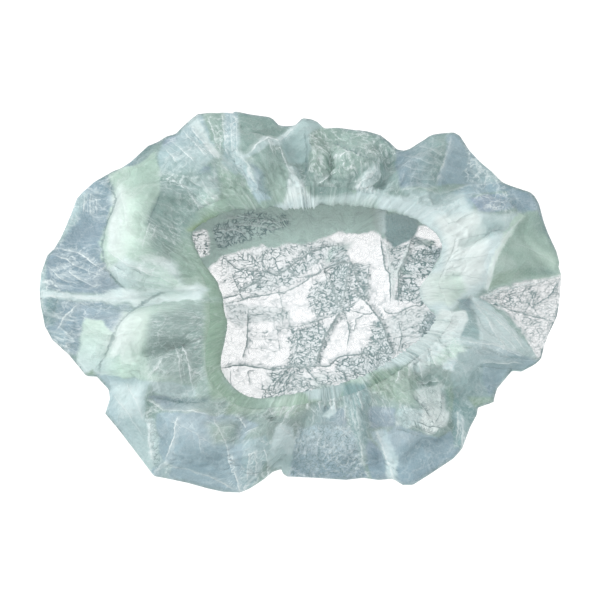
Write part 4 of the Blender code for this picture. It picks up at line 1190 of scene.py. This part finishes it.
def shapeSheet():
    # the cloth's final points, and all that its material reads
    points, layers, inwards, leavings, flat = layOutSheet()
    bearings = np.broadcast_to(np.arange(clothGrid["around"]) * 360 / clothGrid["around"], layers.shape)
    onlyTop = ramp(layers, *settling["layers"]) * ramp(inwards, *settling["inwards"])
    onlyTop = onlyTop * ramp(edgeStand(bearings), *settling["stand"])
    points = points + settleCloth(points, layers) * onlyTop[..., None]
    print("cloth settled")
    points = sharpenOutline(points)
    x, y = points[..., 0], points[..., 1]
    seenY = seenPlace(points)[1]
    hemLine = rimPoint(bearings[0], np.full(clothGrid["around"], capForm["hemDepth"]), 0.0)
    hemLine[..., :2] -= footprintMiddle()
    fromHem = np.hypot(x - hemLine[:, 0], y - hemLine[:, 1])
    upper = ramp(layers, *sheetLook["upperFrom"])
    onTop = upper > 0.5
    free = 1 - ramp(inwards, *sheetLook["heldFrom"])
    offTable = ramp(points[..., 2], *sheetLook["liftedFrom"])
    lifted = np.maximum(ramp(leavings, 0.0, 0.04), offTable)

    # colour, cover and crinkling of both layers, with painted shade where the lower layer leaves the table
    # and the painted light and shade of the facets
    floorLook = baseLook("baseFloor", "floor", x.shape)
    floorLook += (baseLook("baseLifted", "floor", x.shape) - floorLook) * lifted[..., None]
    paintFacets(floorLook, x, y, floorFacets, seenBelow["floor"], sheetLook["floorSeed"])
    topLook = baseLook("baseTop", "top", x.shape)
    paintFacets(topLook, x, seenY, upperFacets, seenBelow["top"], sheetLook["topSeed"])
    look = floorLook + (topLook - floorLook) * upper[..., None]
    crinkled = look[..., 4]

    # folds read off the cap, random facets between them, and the gathers that the elastic draws in
    floorRise, floorLines = foldField(x, y, floorFolds, sheetLook["floorFoldSeed"])
    floorLines["dark"]["force"] *= sheetLook["floorFoldForce"]
    topRise, topLines = foldField(x, seenY, upperFolds, sheetLook["topFoldSeed"])
    crumpleTop, crumpleFloor, shade = 0, 0, 0
    for size, height, seed, shadeShare in topCrumples:
        facetHeight, facetShade = facetNoise(x / size, seenY / size, seed)
        crumpleTop = crumpleTop + height * facetHeight
        shade = shade + shadeShare * facetShade
    for size, height, seed in floorCrumples:
        crumpleFloor = crumpleFloor + height * facetNoise(x / size, y / size, seed)[0]
    crumpleTop, crumpleFloor = crumpleTop * (0.35 + 0.65 * crinkled), crumpleFloor * (0.4 + 0.6 * crinkled)
    gathers = gatherField(bearings, fromHem, sheetLook["gatherSeed"]) * ramp(inwards, 0.02, 0.3)
    gathers = gathers * pleatStrength(bearings)
    out = surfaceNormals(points)
    topMove = (topRise + crumpleTop) * free * ramp(layers, 0.3, 1.0) + gathers * upper
    points = points + out * (topMove * upper)[..., None]
    floorLift = floorRise + crumpleFloor + sheetLook["floorThickness"]
    points[..., 2] += floorLift * (1 - upper) * (1 - ramp(layers, 0.0, 0.3))
    points[..., 2] = np.maximum(points[..., 2], sheetLook["lowest"])

    # ridges catch the light and are painted paler, a painted highlight, and creases darker, painted shade
    seen = surfaceNormals(points) * (2 * upper - 1)[..., None]
    neighbours = sum(np.roll(points, step, axis) for step, axis in ((1, 1), (-1, 1), (1, 0), (-1, 0)))
    spacing = lengthOf(np.roll(points, 1, 1) - points)[..., 0] * lengthOf(np.gradient(points, axis=0))[..., 0]
    bulge = ((points - neighbours / 4) * seen).sum(-1) / np.maximum(spacing, 0.3)
    bulge[:2] = bulge[-2:] = 0
    bulge = (bulge + np.roll(bulge, 1, 1) + np.roll(bulge, -1, 1)) / 3
    shade = shade * crinkled * upper
    ridge = ramp(bulge, *sheetLook["bendShows"]) * (0.3 + 0.7 * crinkled)
    crease = ramp(-bulge, *sheetLook["bendShows"]) * (0.3 + 0.7 * crinkled)
    single = sum(share * insideShare(x, seenY, corners, 1.5) for share, corners in singleLayers)
    reads = {
        "cover": np.clip(look[..., 3], 0, 1),
        "crinkled": crinkled,
        "ridge": ridge,
        "crease": crease,
        "onFloor": np.maximum(1 - upper, single * onTop),
    }
    # the turned edge is seen edge on, so it looks a little darker
    acrossX, acrossY = x - seenMiddle[0], seenY - seenMiddle[1]
    fromEdge = cornersReach(outlineCorners, np.arctan2(acrossY, acrossX)) - np.hypot(acrossX, acrossY)
    uneven = ramp(latticeNoise(bearings / 6, fromEdge / 40, sheetLook["edgeSeed"]), -0.7, 0.4)
    edgeForce = sheetLook["edgeForce"] * uneven * (1 - ramp(fromEdge, 2.0, 3.5))
    atEdge = (edgeForce > 0) & (topLines["dark"]["reach"] < edgeForce)
    topLines["dark"]["distance"] = np.where(atEdge, fromEdge / 3.0, topLines["dark"]["distance"])
    topLines["dark"]["force"] = np.where(atEdge, edgeForce, topLines["dark"]["force"])
    for kind in ("pale", "dark"):
        reads[kind + "Distance"] = np.where(onTop, topLines[kind]["distance"], floorLines[kind]["distance"])
        reads[kind + "Force"] = np.where(onTop, topLines[kind]["force"], floorLines[kind]["force"])
    # the tint carries the painted light and shade of the facets and of each crumple facet's shade
    vectors = {"tint": look[..., :3] * (1 + shade)[..., None], **webPlaces(bearings, cutRadius * flat)}
    return points, reads, vectors


def webPlaces(bearings, radius):
    # where each point lies on the flat round sheet, and on a tube as long as the sheet's radius, in metres
    angle, tube = np.radians(bearings), sheetLook["tubeRadius"]
    return {
        "flatPlace": np.stack([radius * np.cos(angle), radius * np.sin(angle), 0 * radius], -1) / 1000,
        "tubePlace": np.stack([tube * np.cos(angle), tube * np.sin(angle), radius], -1) / 1000,
    }


sheetPoints, sheetReads, sheetVectors = shapeSheet()
crownMiddle = sheetPoints[0].mean(0)
cloth = meshFromGrid("cap_cloth", sheetPoints, middle=crownMiddle)
for name, values in sheetReads.items():
    paint(cloth, name, values)
for name, values in sheetVectors.items():
    paintVector(cloth, name, values)
print("cloth shaped:", len(cloth.data.polygons), "faces")

# The hem's section from its seam on top, round its inner edge, to the seam underneath: how far outwards,
# how far above its middle, share of the pleat
hemSection = (
    (9.6, 0.25, 0.9), (8.4, 0.8, 1), (6.8, 1.3, 1), (5, 1.7, 1), (3.2, 1.75, 1), (1.7, 1.5, 0.9),
    (0.6, 0.95, 0.6), (0.1, 0.2, 0.2), (0.2, -0.6, 0.3), (1, -1.3, 0.7), (2.6, -1.7, 0.9), (4.6, -1.8, 0.9),
    (6.6, -1.6, 0.9), (8.2, -1.2, 0.7), (9.4, -0.8, 0.3),
)


def shapeHem():
    around = hemForm["around"]
    bearings = np.arange(around) * 360 / around
    wave, strength = pleatWave(bearings), pleatStrength(bearings)
    bulge = sum(far * bump(turnBetween(bearings, at), across) for at, across, far in hemForm["bulges"])
    bulge = bulge * (1 + 0.25 * wave * strength)
    rings = []
    for outwards, above, share in hemSection:
        side = 1 if above > 0 else -1
        height = above + side * hemForm["pleatHeight"] * share * wave * strength
        place = bearings * noiseCells / 360 * 2
        height += 0.4 * share * latticeNoise(place, np.full(around, outwards / 4), hemForm["roughSeed"])
        if share >= 0.6 and outwards < 6:  # clear of the elastic inside
            height = side * np.maximum(side * height, hemForm["thickness"] + 0.5 * share)
        depth = 1 - outwards / capForm["hemDepth"]
        toothed = hemForm["tooth"] * depth**2 * np.maximum(wave + 0.8, 0) / 2 * strength
        ring = rimPoint(bearings, outwards - (toothed + bulge * max(depth, 0) ** 1.5), height)
        ring[..., :2] -= footprintMiddle()
        rings.append(ring)
    return np.array(rings), np.tile(wave * strength, (len(hemSection), 1)), bearings


hemPoints, hemWave, hemBearings = shapeHem()
hem = meshFromGrid("gathered_hem", hemPoints)
hemLook = baseLook("baseHem", "top", hemWave.shape)
# the hem takes the upper layer's painted tones, their painted light and shade included
paintFacets(hemLook, *seenPlace(hemPoints), upperFacets, seenBelow["top"], sheetLook["topSeed"])
hemReads = {
    "cover": np.maximum(hemLook[..., 3], 0.9),
    "crinkled": 0.3 + 0.3 * hemLook[..., 4],
    # pleat crests are painted paler, a painted highlight, and the folds between them darker, painted shade
    "ridge": ramp(hemWave, 0.2, 1.0),
    "crease": ramp(-hemWave, 0.2, 1.0),
    "onFloor": np.zeros(hemWave.shape),
}
for kind in ("pale", "dark"):
    hemReads[kind + "Distance"] = np.full(hemWave.shape, farOff)
    hemReads[kind + "Force"] = np.zeros(hemWave.shape)
for name, values in hemReads.items():
    paint(hem, name, values)
hemRun = np.linspace(*hemForm["flatRadius"], len(hemSection))[:, None]
hemPlaces = webPlaces(*np.broadcast_arrays(hemBearings[None], hemRun))
for name, values in {"tint": hemLook[..., :3], **hemPlaces}.items():
    paintVector(hem, name, values)
print("hem pleated")


def makeGroup(name, inputs, outputs):
    # inputs by name with the values they start from (None for a place), outputs by name
    tree = bpy.data.node_groups.new(name, "ShaderNodeTree")
    for label, value in inputs.items():
        kind = "Float" if isinstance(value, float) else "Color" if value and len(value) == 4 else "Vector"
        socket = tree.interface.new_socket(label, in_out="INPUT", socket_type="NodeSocket" + kind)
        if value is not None:
            socket.default_value = value
    for label in outputs:
        kind = "Color" if label == "Color" else "Float"
        tree.interface.new_socket(label, in_out="OUTPUT", socket_type="NodeSocket" + kind)
    return tree, tree.nodes.new("NodeGroupInput").outputs, tree.nodes.new("NodeGroupOutput").inputs


def addNode(tree, kind, settings, sockets):
    # a node with its properties set, and each input given a value or joined to another node's output
    node = tree.nodes.new(kind)
    for name, value in settings.items():
        setattr(node, name, value)
    for name, value in sockets.items():
        if isinstance(value, bpy.types.NodeSocket):
            tree.links.new(value, node.inputs[name])
        else:
            node.inputs[name].default_value = value
    return node


def calc(tree, operation, a, b=0.0, clamp=False):
    settings = {"operation": operation, "use_clamp": clamp}
    return addNode(tree, "ShaderNodeMath", settings, {0: a, 1: b}).outputs[0]


def plus(tree, *values):
    total = values[0]
    for value in values[1:]:
        total = calc(tree, "ADD", total, value)
    return total


def times(tree, *values):
    product = values[0]
    for value in values[1:]:
        product = calc(tree, "MULTIPLY", product, value)
    return product


def vectorMath(tree, operation, a, b):
    return addNode(tree, "ShaderNodeVectorMath", {"operation": operation}, {0: a, 1: b}).outputs[0]


def spread(tree, value, low, high, toLow=0.0, toHigh=1.0):
    # a value between low and high brought smoothly to the range from toLow to toHigh
    settings = {"interpolation_type": "SMOOTHSTEP"}
    sockets = {"Value": value, "From Min": low, "From Max": high, "To Min": toLow, "To Max": toHigh}
    return addNode(tree, "ShaderNodeMapRange", settings, sockets).outputs[0]


def noiseOf(tree, place, scale, detail=0.0, distortion=0.0, dimensions="3D", output=0):
    sockets = {"Vector": place, "Scale": scale, "Detail": detail, "Distortion": distortion}
    return addNode(tree, "ShaderNodeTexNoise", {"noise_dimensions": dimensions}, sockets).outputs[output]


def ridgeOf(tree, noise, width):
    # thin lines where a noise passes its middle value
    fromMiddle = calc(tree, "ABSOLUTE", calc(tree, "SUBTRACT", noise, 0.5))
    return spread(tree, fromMiddle, 0.0, width, 1.0, 0.0)


def turned(tree, place, angle):
    sockets = {"Vector": place, "Angle": angle}
    return addNode(tree, "ShaderNodeVectorRotate", {"rotation_type": "Z_AXIS"}, sockets).outputs[0]


def warped(tree, place, scale, amount):
    # the place pushed about by a soft noise
    push = noiseOf(tree, place, scale, 1.0, output=1)
    push = vectorMath(tree, "SUBTRACT", push, (0.5, 0.5, 0.5))
    push = vectorMath(tree, "MULTIPLY", push, (amount, amount, amount))
    return vectorMath(tree, "ADD", place, push)


def mixColour(tree, share, a, b):
    return addNode(tree, "ShaderNodeMix", {"data_type": "RGBA"}, {0: share, 6: a, 7: b}).outputs[2]


def makeFibreWeb():
    # laid filaments in three directions and the small dots that bond them
    tree, given, result = makeGroup(
        "fibreWeb",
        {"Place": None, "Filament Length": 0.009, "Filament Width": 0.0008, "Dot Pitch": 0.0024,
         "Dot Turn": 0.785},
        ("Filaments", "Dots", "Height"),
    )
    strandSize = {0: given["Filament Length"], 1: given["Filament Width"], 2: 1.0}
    strands = None
    for turn, start in ((0.35, 0.0), (1.45, 0.31), (2.5, 0.77)):
        size = addNode(tree, "ShaderNodeCombineXYZ", {}, strandSize).outputs[0]
        sockets = {"Vector": given["Place"], "Location": (start, start, 0), "Rotation": (0, 0, turn),
                   "Scale": size}
        laid = addNode(tree, "ShaderNodeMapping", {"vector_type": "TEXTURE"}, sockets).outputs[0]
        strand = ridgeOf(tree, noiseOf(tree, laid, 1.0, 2.0, 0.6, "2D"), 0.08)
        strands = strand if strands is None else calc(tree, "MAXIMUM", strands, strand)
    dotSize = {0: given["Dot Pitch"], 1: given["Dot Pitch"], 2: 1.0}
    pitch = addNode(tree, "ShaderNodeCombineXYZ", {}, dotSize).outputs[0]
    dotPlace = turned(tree, vectorMath(tree, "DIVIDE", given["Place"], pitch), given["Dot Turn"])
    sockets = {"Vector": dotPlace, "Scale": 1.0, "Randomness": 0.0}
    cells = addNode(tree, "ShaderNodeTexVoronoi", {"voronoi_dimensions": "2D"}, sockets).outputs["Distance"]
    dots = spread(tree, cells, 0.16, 0.3, 1.0, 0.0)
    height = calc(tree, "SUBTRACT", times(tree, strands, 0.6), times(tree, dots, 0.5))
    tree.links.new(strands, result["Filaments"])
    tree.links.new(dots, result["Dots"])
    tree.links.new(height, result["Height"])
    return tree


def makeFoldLine():
    # a thin line where the signed distance passes zero, and a veil that fades away on one side of it;
    # it paints the highlights of pale folds and the shadows of dark ones
    tree, given, result = makeGroup(
        "foldLine",
        {"Distance": farOff, "Force": 0.0, "Wander": 0.5, "Wander Reach": 1.1, "Width": 0.5, "Veil": 0.4,
         "Veil Reach": 3.2},
        ("Line",),
    )
    push = times(tree, calc(tree, "SUBTRACT", given["Wander"], 0.5), given["Wander Reach"])
    moved = plus(tree, given["Distance"], push)
    fullWidth = times(tree, given["Width"], 0.25)
    line = spread(tree, calc(tree, "ABSOLUTE", moved), fullWidth, given["Width"], 1.0, 0.0)
    oneSide = spread(tree, moved, -0.15, 0.0)
    veil = times(tree, spread(tree, moved, 0.0, given["Veil Reach"], 1.0, 0.0), oneSide, given["Veil"])
    tree.links.new(times(tree, calc(tree, "MAXIMUM", line, veil), given["Force"]), result["Line"])
    return tree


def makeStrokes():
    # long thin streaks, pale and dark, tapered at both ends, in loose groups; the pale ones are painted
    # glints on fine folds, partly cloth lying denser there
    tree, given, result = makeGroup(
        "strokes",
        {"Place": None, "Size": (0.003, 0.003, 0.03), "Groups": 45.0},
        ("Pale", "Dark"),
    )
    bent = warped(tree, given["Place"], 30.0, 0.012)
    noise = noiseOf(tree, vectorMath(tree, "DIVIDE", bent, given["Size"]), 1.0, 1.0)
    grouped = spread(tree, noiseOf(tree, bent, given["Groups"], 1.0), 0.4, 0.62)
    between = calc(tree, "SUBTRACT", 1.0, grouped)
    tree.links.new(times(tree, spread(tree, noise, 0.55, 0.72), grouped), result["Pale"])
    tree.links.new(times(tree, spread(tree, noise, 0.46, 0.24), between), result["Dark"])
    return tree


def makeCrinkleWeb():
    # crumpled cloth: ridges that branch into finer and finer ones, and the hollows between them; the
    # ridges are painted paler, a painted highlight, the hollows darker, painted shade, and the height is a
    # bump
    tree, given, result = makeGroup(
        "crinkleWeb",
        {"Place": None, "Scale": 100.0, "Groups": 38.0},
        ("Ridges", "Hollows", "Height"),
    )
    bent = warped(tree, given["Place"], 70.0, 0.01)
    sockets = {"Vector": bent, "Scale": given["Scale"], "Detail": 4.0, "Roughness": 0.62, "Lacunarity": 2.1,
               "Offset": 0.95, "Gain": 2.2}
    folded = addNode(tree, "ShaderNodeTexNoise", {"noise_type": "RIDGED_MULTIFRACTAL"}, sockets).outputs[0]
    grouped = spread(tree, noiseOf(tree, given["Place"], given["Groups"], 2.0), 0.36, 0.62, 0.25, 1.0)
    tree.links.new(times(tree, spread(tree, folded, 1.3, 1.75), grouped), result["Ridges"])
    tree.links.new(spread(tree, folded, 0.75, 0.3), result["Hollows"])
    tree.links.new(folded, result["Height"])
    return tree


def makeCrackle():
    # the net of tiny sharp creases in cloth that has been folded small, in two sizes; the creases are
    # painted dark, painted shade, and pressed in as a bump
    tree, given, result = makeGroup(
        "crackle",
        {"Place": None, "Size": 0.0042},
        ("Creases", "Height"),
    )
    bent = warped(tree, warped(tree, given["Place"], 110.0, 0.008), 420.0, 0.0022)
    total = None
    for part, weight in ((1.0, 1.0), (0.52, 0.65)):
        pace = calc(tree, "DIVIDE", 1.0, times(tree, given["Size"], part))
        settings = {"voronoi_dimensions": "2D", "feature": "DISTANCE_TO_EDGE"}
        sockets = {"Vector": bent, "Scale": pace}
        edge = addNode(tree, "ShaderNodeTexVoronoi", settings, sockets).outputs["Distance"]
        line = spread(tree, edge, 0.04, 0.14, weight, 0.0)
        kept = spread(tree, noiseOf(tree, given["Place"], times(tree, pace, 0.6), 1.0), 0.4, 0.52)
        line = times(tree, line, kept)
        total = line if total is None else calc(tree, "MAXIMUM", total, line)
    tree.links.new(total, result["Creases"])
    tree.links.new(times(tree, total, -1.0), result["Height"])
    return tree


def makeSheerOverlap():
    # layers of thin cloth lying over each other: each shade fades in slowly and ends at a sharp border
    tree, given, result = makeGroup(
        "sheerOverlap",
        {"Place": None, "Scale": 26.0, "Layers": 5.0},
        ("Shade", "Border"),
    )
    bent = warped(tree, given["Place"], 90.0, 0.008)
    run = times(tree, noiseOf(tree, bent, given["Scale"], 0.6), given["Layers"])
    step = calc(tree, "FRACT", run)
    tree.links.new(calc(tree, "SUBTRACT", step, 0.5), result["Shade"])
    tree.links.new(spread(tree, step, 0.93, 1.0), result["Border"])
    return tree


def makeClothToneAndShade():
    # colour and cover of the cloth from its tint, its folds and its web: Pale mixes in painted highlights,
    # Dark painted shade and shadow
    tree, given, result = makeGroup(
        "clothToneAndShade",
        {"Tint": (0.3, 0.4, 0.36, 1), "Cover": 0.8, "Pale": 0.0, "Dark": 0.0, "Shade": 0.0, "Clouds": 0.5,
         "Pale Colour": (0.86, 0.95, 0.95, 1), "Dark Colour": (0.125, 0.225, 0.235, 1)},
        ("Color", "Alpha"),
    )
    toned = plus(tree, spread(tree, given["Clouds"], 0.3, 0.7, 0.93, 1.07), given["Shade"])
    sockets = {0: given["Tint"], "Scale": toned}
    tinted = addNode(tree, "ShaderNodeVectorMath", {"operation": "SCALE"}, sockets).outputs[0]
    darker = mixColour(tree, given["Dark"], tinted, given["Dark Colour"])
    colour = mixColour(tree, given["Pale"], darker, given["Pale Colour"])
    # folded cloth lies double, so it hides more
    doubled = calc(tree, "MAXIMUM", given["Pale"], given["Dark"])
    sheer = times(tree, calc(tree, "SUBTRACT", 1.0, given["Cover"]), calc(tree, "SUBTRACT", 1.0, doubled))
    tree.links.new(colour, result["Color"])
    tree.links.new(calc(tree, "SUBTRACT", 1.0, sheer, True), result["Alpha"])
    return tree


fibreWeb, foldLine, strokes, crinkleWeb = makeFibreWeb(), makeFoldLine(), makeStrokes(), makeCrinkleWeb()
crackle, sheerOverlap, clothToneAndShade = makeCrackle(), makeSheerOverlap(), makeClothToneAndShade()


def useGroup(tree, group, sockets):
    return addNode(tree, "ShaderNodeGroup", {"node_tree": group}, sockets).outputs


def painted(tree, name, output="Fac"):
    # what is painted on the mesh under this name
    return addNode(tree, "ShaderNodeAttribute", {"attribute_name": name}, {}).outputs[output]


def makeClothMaterial(name, finish):
    material = bpy.data.materials.new(name)
    material.use_nodes = True
    tree = material.node_tree
    shader = tree.nodes["Principled BSDF"]
    shader.inputs["Sheen Weight"].default_value = finish["sheen"]
    shader.inputs["Sheen Roughness"].default_value = finish["sheenRoughness"]
    flatPlace, tubePlace = painted(tree, "flatPlace", "Vector"), painted(tree, "tubePlace", "Vector")
    crinkled, onFloor = painted(tree, "crinkled"), painted(tree, "onFloor")
    web = useGroup(tree, fibreWeb, {"Place": flatPlace})
    lay = useGroup(tree, sheerOverlap, {"Place": tubePlace})
    # streaks run in from the outline, and across each other the way the cloth lies
    paleStreaks, darkStreaks = 0.0, 0.0
    for size, turn, weight in finish["strokes"]:
        place = tubePlace if turn is None else turned(tree, flatPlace, math.radians(turn))
        made = useGroup(tree, strokes, {"Place": place, "Size": size})
        paleStreaks = calc(tree, "MAXIMUM", paleStreaks, times(tree, made["Pale"], weight))
        darkStreaks = calc(tree, "MAXIMUM", darkStreaks, times(tree, made["Dark"], weight))
    creases = useGroup(tree, crackle, {"Place": flatPlace, "Size": finish["crackleSize"]})
    crinkles = useGroup(tree, crinkleWeb, {"Place": flatPlace, "Scale": finish["crinkleScale"]})
    wideWeb = {"Place": flatPlace, "Scale": finish["floorWebScale"], "Groups": finish["floorWebGroups"]}
    floorWeb = useGroup(tree, crinkleWeb, wideWeb)
    wander = noiseOf(tree, flatPlace, finish["wanderScale"], 1.0)
    folds = {}
    for kind, width, veil in (("pale", 0.5, 0.4), ("dark", 0.45, 0.35)):
        sockets = {"Distance": painted(tree, kind + "Distance"), "Force": painted(tree, kind + "Force"),
                   "Wander": wander, "Width": width, "Veil": veil}
        folds[kind] = useGroup(tree, foldLine, sockets)["Line"]
    onTop = calc(tree, "SUBTRACT", 1.0, onFloor)
    topCrinkles, floorCrinkles = times(tree, crinkled, onTop), times(tree, crinkled, onFloor)
    streaked = spread(tree, topCrinkles, -0.25, 1.0)
    # pale marks: painted highlights on folds, ridges, crinkles and streaks, partly cloth lying double, and
    # the web's paler filaments and dots
    pale = plus(
        tree, folds["pale"], times(tree, paleStreaks, streaked),
        times(tree, crinkles["Ridges"], streaked, finish["crinkles"]),
        times(tree, web["Filaments"], finish["filaments"]), times(tree, web["Dots"], finish["dots"]),
        times(tree, painted(tree, "ridge"), finish["ridge"]),
        times(tree, lay["Border"], topCrinkles, finish["overlapBorder"]))
    floorCreases = spread(tree, floorCrinkles, 0.0, 0.9, 0.0, finish["floorCreases"])
    # dark marks: painted shade and shadow of folds, crackle, crinkle hollows and creases, and the dark
    # streaks
    dark = plus(
        tree, times(tree, folds["dark"], finish["darkFold"]), times(tree, creases["Creases"], floorCreases),
        times(tree, floorWeb["Ridges"], onFloor, finish["floorWeb"]),
        times(tree, crinkles["Hollows"], streaked, finish["hollows"]),
        times(tree, creases["Creases"], topCrinkles, finish["topCreases"]),
        times(tree, painted(tree, "crease"), finish["crease"]),
        times(tree, darkStreaks, times(tree, streaked, finish["darkStreaks"])))
    clouds = noiseOf(tree, flatPlace, finish["cloudScale"], 3.0)
    tone = useGroup(tree, clothToneAndShade, {
        "Tint": painted(tree, "tint", "Color"),
        "Cover": painted(tree, "cover"),
        "Pale": calc(tree, "MINIMUM", pale, finish["palest"]),
        "Dark": calc(tree, "MINIMUM", dark, finish["darkest"]),
        "Shade": times(tree, lay["Shade"], onTop, finish["overlap"]),
        "Clouds": clouds,
    })
    tree.links.new(tone["Color"], shader.inputs["Base Color"])
    tree.links.new(tone["Alpha"], shader.inputs["Alpha"])
    # the dots are melted smooth, and the loose web between them is rougher
    smooth, loose = times(tree, web["Dots"], -finish["dotGloss"]), times(tree, clouds, finish["looseness"])
    rough = plus(tree, smooth, loose, finish["roughness"] - finish["looseness"] / 2)
    tree.links.new(calc(tree, "ADD", rough, 0.0, True), shader.inputs["Roughness"])
    sockets = {"Height": web["Height"], "Strength": 0.35, "Distance": finish["webDepth"]}
    fine = addNode(tree, "ShaderNodeBump", {}, sockets).outputs[0]
    height = plus(tree, times(tree, crinkles["Height"], 0.8), creases["Height"])
    sockets = {"Height": height, "Normal": fine, "Strength": 0.5, "Distance": finish["creaseDepth"]}
    tree.links.new(addNode(tree, "ShaderNodeBump", {}, sockets).outputs[0], shader.inputs["Normal"])
    return material


# What both pieces of cloth share: web, how strongly each kind of mark shows, limits of pale and dark
webFinish = {
    "sheen": 0.12,
    "sheenRoughness": 0.4,
    "filaments": 0.1,
    "dots": 0.05,
    "dotGloss": 0.18,
    "looseness": 0.2,
    "webDepth": 0.0002,  # metres, as are the other depths and sizes
    "wanderScale": 260.0,
    "cloudScale": 60.0,
    "floorWebScale": 62.0,
    "floorWebGroups": 30.0,
    "floorWeb": 0.3,
    "floorCreases": 2.0,
    "topCreases": 0.22,
    "hollows": 0.22,
    "darkFold": 1.4,
    "darkStreaks": 0.35,
    "overlapBorder": 0.3,
    "palest": 0.95,
    "darkest": 0.93,
}
# Streaks: size across, up and along, their turn in degrees (None: inwards from the outline), strength
clothFinish = webFinish | {
    "roughness": 0.5,
    "crackleSize": 0.0035,
    "creaseDepth": 0.0006,
    "ridge": 0.3,
    "crease": 0.3,
    "overlap": 0.12,
    "crinkles": 0.55,
    "crinkleScale": 115.0,
    "strokes": (
        ((0.004, 0.004, 0.03), None, 0.45),
        ((0.0018, 0.0018, 0.012), None, 0.3),
        ((0.022, 0.003, 1.0), 35, 0.3),
        ((0.018, 0.0026, 1.0), 100, 0.3),
        ((0.024, 0.0034, 1.0), 155, 0.25),
    ),
}
hemFinish = webFinish | {
    "roughness": 0.55,
    "crackleSize": 0.003,
    "creaseDepth": 0.0004,
    "ridge": 0.5,
    "crease": 0.32,
    "overlap": 0.08,
    "crinkles": 0.25,
    "crinkleScale": 140.0,
    "strokes": (((0.0034, 0.0034, 0.03), None, 0.4), ((0.0016, 0.0016, 0.014), None, 0.3)),
}
cloth.data.materials.append(makeClothMaterial("softNonWoven", clothFinish))
hem.data.materials.append(makeClothMaterial("pleatedNonWoven", hemFinish))

# The elastic: fine ribs along it, covered with pale thread, the hollows between the ribs painted darker
# as painted shade
elasticFinish = {
    "ribScale": 320.0,
    "ribDepth": 0.0003,
    "fleckScale": 900.0,
    "hollowShadeColour": (0.6, 0.66, 0.62, 1),
    "ribColour": (0.86, 0.9, 0.87, 1),
    "sheen": 0.3,
    "roughness": (0.55, 0.8),
}


def makeElasticMaterial(finish):
    material = bpy.data.materials.new("knittedElastic")
    material.use_nodes = True
    tree = material.node_tree
    shader = tree.nodes["Principled BSDF"]
    place = addNode(tree, "ShaderNodeTexCoord", {}, {}).outputs["Object"]
    settings = {"wave_type": "BANDS", "bands_direction": "DIAGONAL"}
    sockets = {"Vector": place, "Scale": finish["ribScale"], "Distortion": 1.5, "Detail": 1.0}
    ribs = addNode(tree, "ShaderNodeTexWave", settings, sockets).outputs["Fac"]
    flecks = noiseOf(tree, place, finish["fleckScale"], 2.0)
    shader.inputs["Sheen Weight"].default_value = finish["sheen"]
    # the hollows take the darker colour, painted shade
    colour = mixColour(tree, ribs, finish["hollowShadeColour"], finish["ribColour"])
    tree.links.new(colour, shader.inputs["Base Color"])
    tree.links.new(spread(tree, flecks, 0.3, 0.7, *finish["roughness"]), shader.inputs["Roughness"])
    sockets = {"Height": ribs, "Strength": 0.5, "Distance": finish["ribDepth"]}
    tree.links.new(addNode(tree, "ShaderNodeBump", {}, sockets).outputs[0], shader.inputs["Normal"])
    return material


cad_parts["elastic_band"].data.materials.clear()
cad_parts["elastic_band"].data.materials.append(makeElasticMaterial(elasticFinish))
print("materials made")

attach(cloth, "root")
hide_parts("cap_sheet")
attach(hem, "root")
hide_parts("folded_hem")

# Camera at the photograph's angle, far off, so that the cap is seen almost without perspective
view = {"elevation": 72.0, "distance": 3.0, "lens": 250.0, "aim": (-0.0007, 0.0038, 0.0)}
camera = bpy.data.objects.new("camera", bpy.data.cameras.new("camera"))
scene.collection.objects.link(camera)
tilt = math.radians(view["elevation"])
aimX, aimY, aimZ = view["aim"]
back, up = view["distance"] * math.cos(tilt), view["distance"] * math.sin(tilt)
camera.location = (aimX, aimY - back, aimZ + up)
camera.rotation_euler = (math.pi / 2 - tilt, 0, 0)
camera.data.lens = view["lens"]
scene.camera = camera

# White table lit from within, and soft light from the upper left
studio = {
    "tableSize": 18.0,
    "tableGlow": 1.153,
    "sky": 0.84,
    "keyPower": 9.0,
    "keySize": 0.9,
    "keyPlace": (-1.1, 0.35, 1.15),
}
bpy.ops.mesh.primitive_plane_add(size=studio["tableSize"])
table = bpy.context.object
table.name = "table"
tableMaterial = bpy.data.materials.new("whiteTable")
tableMaterial.use_nodes = True
tableShader = tableMaterial.node_tree.nodes["Principled BSDF"]
tableShader.inputs["Base Color"].default_value = (0, 0, 0, 1)
tableShader.inputs["Specular IOR Level"].default_value = 0
tableShader.inputs["Emission Color"].default_value = (1, 1, 1, 1)
tableShader.inputs["Emission Strength"].default_value = studio["tableGlow"]
table.data.materials.append(tableMaterial)

world = bpy.data.worlds.new("studio")
world.use_nodes = True
world.node_tree.nodes["Background"].inputs["Color"].default_value = (1, 1, 1, 1)
world.node_tree.nodes["Background"].inputs["Strength"].default_value = studio["sky"]
scene.world = world
key = bpy.data.objects.new("keyLight", bpy.data.lights.new("keyLight", "AREA"))
key.data.energy = studio["keyPower"]
key.data.size = studio["keySize"]
key.location = studio["keyPlace"]
toCap = -np.array(studio["keyPlace"])
lean, turn = math.atan2(np.hypot(toCap[0], toCap[1]), -toCap[2]), math.atan2(toCap[1], toCap[0])
key.rotation_euler = (lean, 0, turn - math.pi / 2)
scene.collection.objects.link(key)
scene.view_settings.view_transform = "Standard"
print("table, light and camera placed")
